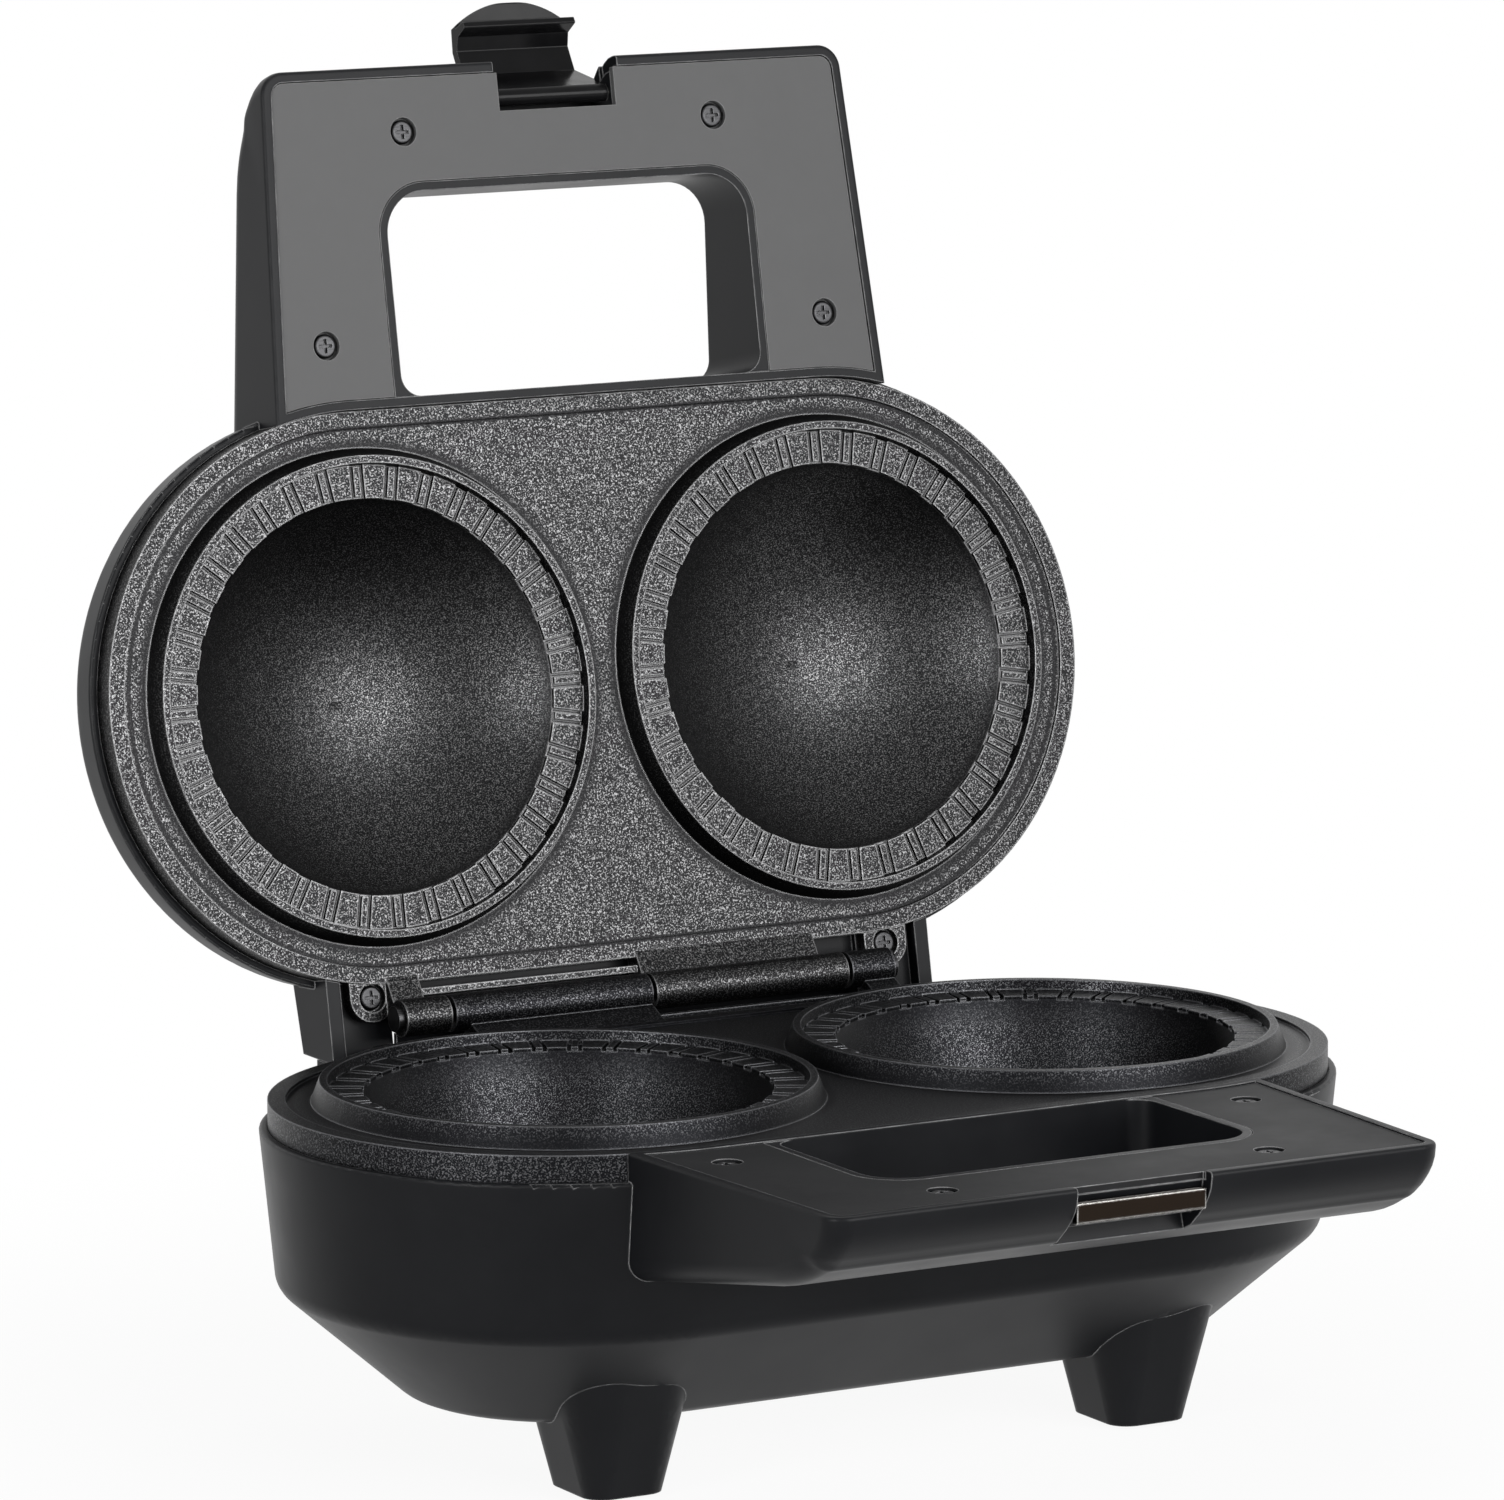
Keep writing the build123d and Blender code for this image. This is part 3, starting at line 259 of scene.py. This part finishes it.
def relief(tree, shader, height, depth_mm, soft_mm):
    """Sends a height through a Bump node, over edges that a Bevel node softens."""
    bump = node(tree, "Bump", {"Height": height, "Strength": 1.0, "Distance": depth_mm * MM})
    soft = node(tree, "Bevel", {"Radius": soft_mm * MM}, samples=6).outputs[0]
    tree.links.new(soft, bump.inputs["Normal"])
    tree.links.new(bump.outputs[0], shader.inputs["Normal"])


# %% [markdown]
# ## Finishes: moulded plastic
# The housing, the handle covers and the latch are plastic, and one recipe makes them all: two near tones in
# faint clouds, a fine relief, and a paler tone on the edges, which is partly wear and partly painted
# highlight. What differs is said by its values.

# %% The recipe for plastic
def plastic(name, shine, rough, dark, pale, edge_and_highlight, grain_mm, cloud_mm, wear_and_highlight_mm, patches, depth_mm, soft_mm):
    """A moulded plastic. Rough is its range of roughness, and shine the strength of its reflections."""
    made, tree, shader = finish(name, Specular_IOR_Level=shine)
    skin = place_effect(tree, moulded, Size_mm=grain_mm, Cloud_mm=cloud_mm)
    worn_and_highlit = place_effect(tree, wear_and_highlight, Width_mm=wear_and_highlight_mm, Patches=patches)
    colour = blend(tree, skin["Tone"], dark, pale)
    # The edge colour is partly wear and partly painted highlight.
    tree.links.new(blend(tree, worn_and_highlit["Mask"], colour, edge_and_highlight), shader.inputs["Base Color"])
    tree.links.new(spread(tree, skin["Tone"], *rough), shader.inputs["Roughness"])
    relief(tree, shader, skin["Height"], depth_mm, soft_mm)
    return made


# %% [markdown]
# Both tubs and handles are one kind of heat-proof plastic, nearly black with a cold cast and a satin gloss.
# A pure black would swallow the form, so the colour is a very dark grey, much paler on the edges, which is
# partly wear and partly painted highlight.

# %% Black housing
housing = plastic(
    "housing_black_satin",
    shine=0.11,
    rough=(0.33, 0.42),
    dark=(0.0040, 0.0043, 0.0052, 1),
    pale=(0.0064, 0.0067, 0.0078, 1),
    edge_and_highlight=(0.42, 0.421, 0.425, 1),
    grain_mm=0.32,
    cloud_mm=38.0,
    wear_and_highlight_mm=0.45,
    patches=0.5,
    depth_mm=0.012,
    soft_mm=0.7,
)

# %% [markdown]
# The flat cover inside each handle comes from a smoother mould. On the lid it is a soft grey, and on the
# base it is black and a little duller than the housing. The two share their sizes and differ in tone and
# gloss.

# %% Handle covers
cover_sizes = {
    "grain_mm": 0.25,
    "cloud_mm": 22.0,
    "wear_and_highlight_mm": 0.4,
    "patches": 0.5,
    "depth_mm": 0.005,
    "soft_mm": 0.4,
}
grey_cover = plastic(
    "cover_grey_satin",
    shine=0.12,
    rough=(0.34, 0.42),
    dark=(0.076, 0.076, 0.077, 1),
    pale=(0.086, 0.086, 0.087, 1),
    edge_and_highlight=(0.30, 0.30, 0.30, 1),
    **cover_sizes,
)
black_cover = plastic(
    "cover_black_satin",
    shine=0.10,
    rough=(0.44, 0.54),
    dark=(0.0085, 0.0087, 0.0095, 1),
    pale=(0.012, 0.0122, 0.013, 1),
    edge_and_highlight=(0.50, 0.50, 0.505, 1),
    **cover_sizes,
)

# %% [markdown]
# ## Finish: non-stick coating
# The two castings carry the same sprayed coating: black, with dense pale specks and a broad sheen. It
# changes from place to place. The grain is finer in the pockets, and the crests are paler, partly rubbed by
# cloths and partly painted highlight. The grooves of the crimp, the foot of each ring and the step inside
# the rim are painted black, as painted shade in these hollows.
# All of these places are found by measuring: how far a point is from a pocket's axis, and how high above
# the hinge. Each span below gives the measure at which a mask starts and the measure at which it is full.

# %% Where the coating changes
pocket_across = 60.0 * MM
pocket_forward = 73.2 * MM
well_span = (45.2 * MM, 43.0 * MM)
crimp_span = (53.4 * MM, 53.0 * MM)
groove_span = (-3.6 * MM, -4.1 * MM)
foot_radius = 57.0 * MM
foot_span = (2.6 * MM, 0.8 * MM)
step_radius = 61.2 * MM
step_span = (0.7 * MM, 0.4 * MM)


def ring_mask(tree, away, radius, span):
    """1 on a circle of this radius, and 0 where the distance from the circle passes the span."""
    off = maths(tree, "ABSOLUTE", maths(tree, "SUBTRACT", away, radius))
    return ramp(tree, off, *span)


def distance(tree, across, forward):
    """How far a point is from an axis, from its distances across and forward."""
    return vectors(tree, "LENGTH", node(tree, "CombineXYZ", {0: across, 1: forward}).outputs[0])


def casting_masks(tree, forward, rise):
    """Masks of one casting: in its pockets, in the crimp's grooves, at the rings' feet, in the rim's step."""
    place = vectors(tree, "SUBTRACT", node(tree, "TexCoord").outputs["Object"], hinge)
    u = maths(tree, "ABSOLUTE", node(tree, "SeparateXYZ", {0: place}).outputs[0])
    u = maths(tree, "SUBTRACT", u, pocket_across)
    v = maths(tree, "SUBTRACT", vectors(tree, "DOT_PRODUCT", place, forward), pocket_forward)
    w = vectors(tree, "DOT_PRODUCT", place, rise)
    away = distance(tree, u, v)
    inside = ramp(tree, away, *well_span)
    groove = maths(tree, "MULTIPLY", ramp(tree, w, *groove_span), ramp(tree, away, *crimp_span))
    groove = maths(tree, "SUBTRACT", groove, inside, clamp=True)
    foot = ring_mask(tree, away, foot_radius, foot_span)
    outward = maths(tree, "MAXIMUM", u, 0.0)
    step = ring_mask(tree, distance(tree, outward, v), step_radius, step_span)
    return inside, groove, foot, step


print("pocket axes", [round(c, 4) for c in (pocket_across, pocket_forward)], "m across and forward")

# %% [markdown]
# The pale specks are fine flakes of metal in a black binder, and all that the eye gets from them is
# reflection. So Metallic is 1 and the colour says how strongly each place reflects: little in the binder,
# more in a flake, most on an edge, which is partly rubbed and partly painted highlight. That is what turns
# the pockets from black at one side to silver at the other.

# %% Non-stick coating
speck_mm = 0.38
speck_density = 0.62
pocket_speck_mm = 0.8 * speck_mm
pocket_speck_density = 0.6
painted_shade_depth = 0.88
edge_share = 0.9
edge_gain = 1.7


def nonstick(name, forward, rise, binder, flake):
    """The coating of one casting, whose handle lies forward of the hinge and whose food side faces rise."""
    made, tree, shader = finish(name, Metallic=1.0)
    inside, groove, foot, step = casting_masks(tree, forward, rise)
    coarse = place_effect(tree, grain, Size_mm=speck_mm, Density=speck_density)
    fine = place_effect(tree, grain, Size_mm=pocket_speck_mm, Density=pocket_speck_density)
    specks = node(tree, "Mix", {0: inside, 2: coarse["Specks"], 3: fine["Specks"]}).outputs[0]
    height = node(tree, "Mix", {0: inside, 2: coarse["Height"], 3: fine["Height"]}).outputs[0]
    # The grooves, the ring feet and the rim's step lose their specks here: painted shade in these hollows.
    painted_shade = maths(tree, "MAXIMUM", maths(tree, "MAXIMUM", groove, foot), step)
    unshaded = maths(tree, "MULTIPLY_ADD", painted_shade, -painted_shade_depth, 1.0)
    specks = maths(tree, "MULTIPLY", specks, unshaded)
    rubbed_and_highlit = maths(tree, "MULTIPLY_ADD", step, -edge_share, edge_share)
    worn_and_highlit = place_effect(tree, wear_and_highlight, Width_mm=0.7, Patches=0.2)["Mask"]
    worn_and_highlit = maths(tree, "MULTIPLY", worn_and_highlit, rubbed_and_highlit)
    # Edges are paler: partly rubbed, and partly painted highlight along the crests.
    edge_and_highlight = [edge_gain * tone for tone in flake[:3]] + [1]
    colour = blend(tree, worn_and_highlit, blend(tree, specks, binder, flake), edge_and_highlight)
    tree.links.new(colour, shader.inputs["Base Color"])
    tree.links.new(spread(tree, specks, 0.44, 0.35), shader.inputs["Roughness"])
    relief(tree, shader, height, depth_mm=0.04, soft_mm=0.35)
    return made


lid_forward, lid_rise = ((on_lid(*way) - hinge) / MM for way in ((0, 1, 0), (0, 0, 1)))
base_forward, base_rise = ((on_base(*way) - hinge) / MM for way in ((0, 1, 0), (0, 0, 1)))
# One coating in two painted tones: the upper plate's copy is paler and the lower plate's darker, which is
# painted light and shade.
upper_coating = nonstick(
    "nonstick_upper",
    lid_forward,
    lid_rise,
    binder=(0.012, 0.012, 0.0125, 1),
    flake=(0.17, 0.17, 0.172, 1),
)
lower_coating = nonstick(
    "nonstick_lower",
    base_forward,
    base_rise,
    binder=(0.0080, 0.0082, 0.0092, 1),
    flake=(0.10, 0.101, 0.106, 1),
)

# %% [markdown]
# ## Finish: glossy black
# The latch is polished black plastic. Its long straight reflections show its bends, so it stays smooth,
# with only a faint cloud of finger marks in the gloss. Its paler edges are partly wear and partly painted
# highlight.

# %% Glossy black
gloss = plastic(
    "latch_black_gloss",
    shine=0.09,
    rough=(0.12, 0.22),
    dark=(0.0042, 0.0042, 0.0045, 1),
    pale=(0.0065, 0.0065, 0.0070, 1),
    edge_and_highlight=(0.12, 0.12, 0.122, 1),
    grain_mm=0.6,
    cloud_mm=9.0,
    wear_and_highlight_mm=0.35,
    patches=0.4,
    depth_mm=0.003,
    soft_mm=0.3,
)


# %% [markdown]
# ## Finishes: metals
# The visible screws and the hinge pin are blackened steel, and the latch pin and the inner screws are
# bright. The keeper is a dark bar with pale edges, which are partly polish and partly painted highlight,
# the heating rods are browned by heat, and the trays are pressed aluminium. They share one recipe: drawn
# lines vary the roughness, and a mask of edge wear and painted highlight brings out the edges.

# %% Metals
def metal(name, dark, pale, rough, line_mm=0.2, edge_mm=0.3, streak=0.25):
    """A metal finish from its colour in the flats, its colour on edges, which is partly wear and partly
    painted highlight, and its range of roughness.
    """
    made, tree, shader = finish(name, Metallic=1.0)
    lines = place_effect(tree, drawn, Line_mm=line_mm, Length_mm=10.0)["Lines"]
    worn_and_highlit = place_effect(tree, wear_and_highlight, Width_mm=edge_mm, Patches=0.35)["Mask"]
    worn_and_highlit = maths(tree, "MAXIMUM", worn_and_highlit, maths(tree, "MULTIPLY", lines, streak))
    tree.links.new(blend(tree, worn_and_highlit, dark, pale), shader.inputs["Base Color"])
    tree.links.new(spread(tree, lines, *rough), shader.inputs["Roughness"])
    relief(tree, shader, lines, depth_mm=0.004, soft_mm=edge_mm)
    return made


black_steel = metal("screw_blackened", (0.020, 0.020, 0.021, 1), (0.16, 0.16, 0.165, 1), (0.28, 0.42))
bright_steel = metal("steel_bright", (0.46, 0.45, 0.44, 1), (0.70, 0.69, 0.67, 1), (0.22, 0.36))
# The keeper's near-white edges on its dark face are partly polish and partly painted highlight lines.
keeper_steel = metal(
    "keeper_dark", (0.022, 0.016, 0.012, 1), (0.90, 0.89, 0.87, 1), (0.2, 0.24), edge_mm=0.6, streak=0.0
)
browned_steel = metal("rod_browned", (0.20, 0.17, 0.145, 1), (0.42, 0.38, 0.34, 1), (0.30, 0.48))
pressed = metal("shield_pressed", (0.62, 0.62, 0.63, 1), (0.82, 0.82, 0.83, 1), (0.30, 0.44), line_mm=0.35)


# %% [markdown]
# ## Finishes: small matt pieces
# The foot pads are rubber, and the terminal block and the thermostat are pale ceramic. Both are matt and
# slightly mottled, so one recipe serves for the two.

# %% Rubber and ceramic
def matt(name, dark, pale, rough, size_mm, depth_mm):
    """A matt, mottled finish with a fine relief."""
    made, tree, shader = finish(name, Specular_IOR_Level=0.4)
    skin = place_effect(tree, moulded, Size_mm=size_mm, Cloud_mm=6.0)
    tree.links.new(blend(tree, skin["Tone"], dark, pale), shader.inputs["Base Color"])
    tree.links.new(spread(tree, skin["Tone"], *rough), shader.inputs["Roughness"])
    relief(tree, shader, skin["Height"], depth_mm, soft_mm=0.25)
    return made


rubber = matt("rubber_black", (0.011, 0.011, 0.011, 1), (0.018, 0.018, 0.018, 1), (0.66, 0.8), 0.5, 0.03)
ceramic = matt("ceramic_pale", (0.56, 0.52, 0.46, 1), (0.66, 0.62, 0.56, 1), (0.45, 0.6), 0.4, 0.01)


# %% [markdown]
# ## Finishes: clear pieces
# Two lenses on the lid's outside show the lamps behind them. They are tinted clear plastic: the shader lets
# most light through and a fine cloud varies the tint. The lamps behind are made the same way, nearly
# colourless.

# %% Clear plastic and glass
def clear(name, deep, light, rough):
    """Tinted clear plastic or glass."""
    made, tree, shader = finish(name, Transmission_Weight=0.75, IOR=1.49)
    skin = place_effect(tree, moulded, Size_mm=0.8, Cloud_mm=3.0)
    tree.links.new(blend(tree, skin["Tone"], deep, light), shader.inputs["Base Color"])
    tree.links.new(spread(tree, skin["Tone"], *rough), shader.inputs["Roughness"])
    return made


red_clear = clear("lens_red", (0.55, 0.012, 0.008, 1), (0.70, 0.03, 0.02, 1), (0.08, 0.16))
green_clear = clear("lens_green", (0.02, 0.42, 0.06, 1), (0.05, 0.56, 0.11, 1), (0.08, 0.16))
lamp_clear = clear("lamp_glass", (0.86, 0.80, 0.72, 1), (0.93, 0.90, 0.86, 1), (0.04, 0.10))

# %% [markdown]
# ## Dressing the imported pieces
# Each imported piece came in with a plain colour. Its material slots now get the finishes above. The mesh
# stays as it is, and only what the slots point at changes.

# %% Hand out the finishes
outer_screws = ["base_cover_screws", "lid_cover_screws", "lower_plate_screws", "upper_plate_screws"]
finishes = {
    housing: ["base_housing", "lid_housing", "cord_panel"],
    grey_cover: ["lid_handle_cover"],
    black_cover: ["base_handle_cover"],
    upper_coating: ["upper_plate"],
    lower_coating: ["lower_plate"],
    gloss: ["latch", "cord_gland"],
    black_steel: [*outer_screws, "hinge_pin"],
    bright_steel: ["latch_pin", "base_screws", "shield_screws", "thermal_fuse"],
    keeper_steel: ["latch_keeper"],
    browned_steel: ["upper_element", "lower_element"],
    pressed: ["upper_heat_shield", "lower_heat_shield"],
    rubber: ["foot_pads"],
    ceramic: ["terminal_block", "thermostat"],
    red_clear: ["power_lens"],
    green_clear: ["ready_lens"],
    lamp_clear: ["indicator_lamps"],
}
for material, names in finishes.items():
    for name in names:
        for slot in pieces[name].material_slots:
            slot.material = material
dressed = sum(len(names) for names in finishes.values())
print("dressed", dressed, "of", len(pieces), "pieces")


# %% [markdown]
# ## Adding objects by hand
# A mesh, a lamp or a camera is only data until an object carries it and a collection holds that object. A
# mesh made step by step is built as a bmesh, which is then written into the data and set free.

# %% Helpers for objects
def add_object(name, data):
    """Puts an object with this mesh, lamp or camera in the scene."""
    made = bpy.data.objects.new(name, data)
    bpy.context.collection.objects.link(made)
    return made


def add_mesh(name, bm):
    """Turns a finished bmesh into an object in the scene."""
    mesh = bpy.data.meshes.new(name)
    bm.to_mesh(mesh)
    bm.free()
    return add_object(name, mesh)


# %% [markdown]
# ## Round noses of the handles
# Seen from the side, each handle ends in a long rounded nose: the front face runs into the sloping back in
# nearly a quarter of an oval, 26 mm long and 14 mm high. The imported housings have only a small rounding
# there. So each is shown by a copy that is bent to the oval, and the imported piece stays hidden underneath,
# where the simulation still uses it. The copy is cut into strips first, because only a vertex can move.
# Each vertex is then measured along the handle and under it, with 1 at the front and at the sloping back,
# and slides from that slightly rounded square onto a circle. Inner and outer faces move together, so the
# wall stays closed. The four measures of the handle are in millimetres, and the reach starts at the hinge.

# %% Cut and bend
handle_reach = 216.0
handle_long = 79.0
nose_long = 26.0
nose_high = 14.0
strips = 10
squareness = 9
weld = 0.002 * MM
touch = 0.001 * MM
crease = math.radians(28)


def cut_strips(bm, corner, forward, way):
    """Cuts the faces of the nose across one way, in strips that get narrower towards its end."""
    for step in range(strips):
        faces = [f for f in bm.faces if any((v.co - corner).dot(forward) > 0 for v in f.verts)]
        verts = [v for f in faces for v in f.verts]
        edges = [e for f in faces for e in f.edges]
        near = list(dict.fromkeys([*verts, *edges, *faces]))
        spot = corner + way * math.sin(step / strips * math.pi / 2)
        bmesh.ops.bisect_plane(bm, geom=near, plane_co=spot, plane_no=way, dist=touch)


def bend(bm, corner, forward, down, slope):
    """Slides the vertices of the nose from a rounded square onto a circle."""
    for v in bm.verts:
        along = (v.co - corner).dot(forward) / forward.length_squared
        drop = (v.co - corner).dot(down) / down.length_squared
        under = drop / (1 + slope * (1 - along))
        if along > 0 and under > 0:
            square = (along ** squareness + under ** squareness) ** (1 / squareness)
            pull = square / math.hypot(along, under)
            bent_drop = under * pull * (1 + slope * (1 - along * pull))
            v.co += forward * along * (pull - 1) + down * (bent_drop - drop)


# %% [markdown]
# The two functions work on one housing at a time. How deep its handle is at the tip and at the root gives
# the slope of the back. The smooth shading of the copy is made anew, with a crease where two faces meet
# sharply.

# %% Show the bent copies
def with_round_nose(name, body, place, tip_drop, root_drop):
    """Shows a copy of a housing whose nose is bent to an oval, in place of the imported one."""
    mesh = pieces[name].data.copy()
    shown = add_object(name + "_round", mesh)
    corner = place(0, handle_reach - nose_long, nose_high - tip_drop)
    forward = place(0, handle_reach, nose_high - tip_drop) - corner
    down = place(0, handle_reach - nose_long, -tip_drop) - corner
    slope = (root_drop - tip_drop) / handle_long * nose_long / nose_high
    bm = bmesh.new()
    bm.from_mesh(mesh)
    bmesh.ops.remove_doubles(bm, verts=bm.verts, dist=weld)
    cut_strips(bm, corner, forward, forward)
    cut_strips(bm, corner, forward, down)
    bend(bm, corner, forward, down, slope)
    for face in bm.faces:
        face.smooth = True
    bm.to_mesh(mesh)
    bm.free()
    if "custom_normal" in mesh.attributes:
        mesh.attributes.remove(mesh.attributes["custom_normal"])
    mesh.set_sharp_from_angle(angle=crease)
    mesh.materials.clear()
    mesh.materials.append(housing)
    shown.modifiers.new("flat walls", "WEIGHTED_NORMAL").keep_sharp = True
    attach(shown, body)
    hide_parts(name)
    print(shown.name, "has", len(mesh.polygons), "faces")


with_round_nose("base_housing", "root", on_base, tip_drop=19.8, root_drop=33.0)
with_round_nose("lid_housing", "lid", on_lid, tip_drop=17.5, root_drop=28.0)

# %% [markdown]
# ## Deck behind the hinge
# Behind the barrels the base has a narrow black deck with a lip, so that no light shows under the hinge. It
# is a thin L-shaped section between the two ears of the base.

# %% Build the deck
def solid_along(name, place, outline, half):
    """A closed black prism: an outline of (forward, up) points, stretched across by half each way."""
    bm = bmesh.new()
    ends = [[bm.verts.new(place(u, v, w)) for v, w in outline] for u in (-half, half)]
    for first in range(len(outline)):
        second = (first + 1) % len(outline)
        bm.faces.new((ends[0][first], ends[0][second], ends[1][second], ends[1][first]))
    for end in ends:
        bm.faces.new(end)
    bmesh.ops.recalc_face_normals(bm, faces=bm.faces)
    made = add_mesh(name, bm)
    made.data.materials.append(housing)
    print(name, round(made.dimensions.x, 4), "m wide")
    return made


deck_half = 61.4
deck_outline = [(8.0, -13.0), (-8.0, -13.0), (-8.0, -4.9), (-6.6, -4.9), (-6.6, -11.4), (8.0, -11.4)]
deck = solid_along("hinge_deck", on_base, deck_outline, deck_half)
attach(deck, "root")

# %% [markdown]
# ## Back wall of the latch slot
# The latch turns in a slot across the tip of the lid's handle. Bending the nose carries the slot's back
# wall away from the cover, so a rib with a small foot stands where that wall belongs. It meets the cheeks
# of the slot at both ends, and no light shows past the pin.

# %% Build the slot's back wall
slot_half = 15.6
slot_outline = [
    (203.2, -3.65),
    (204.55, -3.65),
    (204.55, -12.6),
    (205.4, -14.0),
    (206.9, -14.0),
    (206.9, -14.9),
    (203.2, -16.0),
]
slot_wall = solid_along("latch_slot_wall", on_lid, slot_outline, slot_half)
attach(slot_wall, "lid")

# %% [markdown]
# ## The studio floor
# Product photographs stand on a pale sweep that runs to white. A very wide disc is enough, because the
# camera looks slightly down and never sees its edge. For the light on the object it is plain pale paint. To
# the camera and in reflections it is white, except that a little of the paint shows close to the cooker,
# with its shadow.

# %% Floor
floor_radius = 12.0
floor_sink = 0.0002
bm = bmesh.new()
under_feet = Matrix.Translation((0, 0, -floor_sink))
bmesh.ops.create_circle(bm, cap_ends=True, segments=96, radius=floor_radius, matrix=under_feet)
floor = add_mesh("studio_floor", bm)
print("floor radius", floor_radius, "m")


# %% [markdown]
# The white is an emission, mixed in for rays of the camera, of a reflection or of a clear piece. Light Path
# tells these rays apart. The room's light works the same way: white to the camera, and dim on the object.

# %% Floor finish and world
def seen_directly(tree):
    """1 for rays of the camera, of reflections and of clear pieces, and 0 for light on the object."""
    path = node(tree, "LightPath").outputs
    either = maths(tree, "MAXIMUM", path["Is Camera Ray"], path["Is Glossy Ray"])
    return maths(tree, "MAXIMUM", either, path["Is Transmission Ray"])


shadow_radius = 0.1
white_radius = 0.36
white_by_feet = 0.93
paint, tree, shader = finish("floor_pale", Roughness=0.9, Specular_IOR_Level=0.0)
shader.inputs["Base Color"].default_value = (0.88, 0.88, 0.88, 1)
away = vectors(tree, "LENGTH", node(tree, "TexCoord").outputs["Object"])
wires = {0: away, 1: shadow_radius, 2: white_radius, 3: white_by_feet}
far = node(tree, "MapRange", wires, interpolation_type="SMOOTHSTEP").outputs[0]
share = maths(tree, "MULTIPLY", far, seen_directly(tree))
white = node(tree, "Emission", {"Color": (1, 1, 1, 1), "Strength": 1.0})
mixed = node(tree, "MixShader", {0: share, 1: shader.outputs[0], 2: white.outputs[0]})
tree.links.new(mixed.outputs[0], tree.nodes["Material Output"].inputs["Surface"])
floor.data.materials.append(paint)

room_light = 0.12
world = bpy.data.worlds.new("studio_world")
bpy.context.scene.world = world
world.use_nodes = True
tree = world.node_tree
room = tree.nodes["Background"]
room.inputs["Color"].default_value = (1, 1, 1, 1)
tree.links.new(spread(tree, seen_directly(tree), room_light, 1.0), room.inputs["Strength"])
print("room light", room_light)


# %% [markdown]
# ## Lamps
# A large soft lamp in front and to the right lights the open lid, and its reflection lies in the middle of
# each upper pocket. A weaker one at the left lights the tub's left side and the right edge of the pockets,
# and a narrow one high at the back draws bright lines along the rims. A soft lamp is large for its
# distance, so each is an area lamp aimed at the middle of the cooker.

# %% Lamps
middle = Vector((0, 0, 0.13))


def soft_lamp(name, place, size, power):
    """An area lamp of size metres at place, aimed at the middle of the object."""
    data = bpy.data.lights.new(name, "AREA")
    data.shape = "RECTANGLE"
    data.size, data.size_y = size
    data.energy = power
    lamp = add_object(name, data)
    lamp.location = place
    lamp.rotation_euler = (Vector(place) - middle).to_track_quat("Z", "Y").to_euler()
    print(name, "at", place, "power", power)


soft_lamp("key", (0.45, -1.90, 0.72), (1.5, 1.1), 45.0)
soft_lamp("left", (-2.0, -0.95, 0.5), (0.7, 0.9), 26.0)
soft_lamp("rim", (0.2, 1.1, 1.9), (1.2, 0.4), 10.0)

# %% [markdown]
# ## Camera
# The camera stands where the photograph was taken from, found by fitting the pocket rings, the handle and
# the hinge to a picture of 1504 by 1500 pixels. The long lens keeps the two pockets nearly the same size.

# %% Camera
picture_width = 1504
focal_pixels = 8897.4
from_hinge = Vector((-970.4, -1762.6, 385.0)) * MM
azimuth = math.radians(-29.53)
elevation = math.radians(9.28)
roll = math.radians(-0.21)
camera_data = bpy.data.cameras.new("studio_camera")
camera_data.sensor_fit = "HORIZONTAL"
camera_data.sensor_width = 36.0
camera_data.lens = camera_data.sensor_width * focal_pixels / picture_width
camera_data.clip_start = 0.05
camera_data.clip_end = 60.0
camera = add_object("studio_camera", camera_data)
turn = Matrix.Rotation(azimuth, 4, "Z") @ Matrix.Rotation(math.pi / 2 - elevation, 4, "X")
camera.matrix_world = Matrix.Translation(hinge + from_hinge) @ turn @ Matrix.Rotation(roll, 4, "Z")
scene = bpy.context.scene
scene.camera = camera
scene.view_settings.view_transform = "Standard"
print("lens", round(camera_data.lens, 1), "mm at", [round(c, 3) for c in camera.matrix_world.translation])

# %% [markdown]
# The view layer is brought up to date, so that every object's place in the scene is current.

# %% Bring the view layer up to date
bpy.context.view_layer.update()
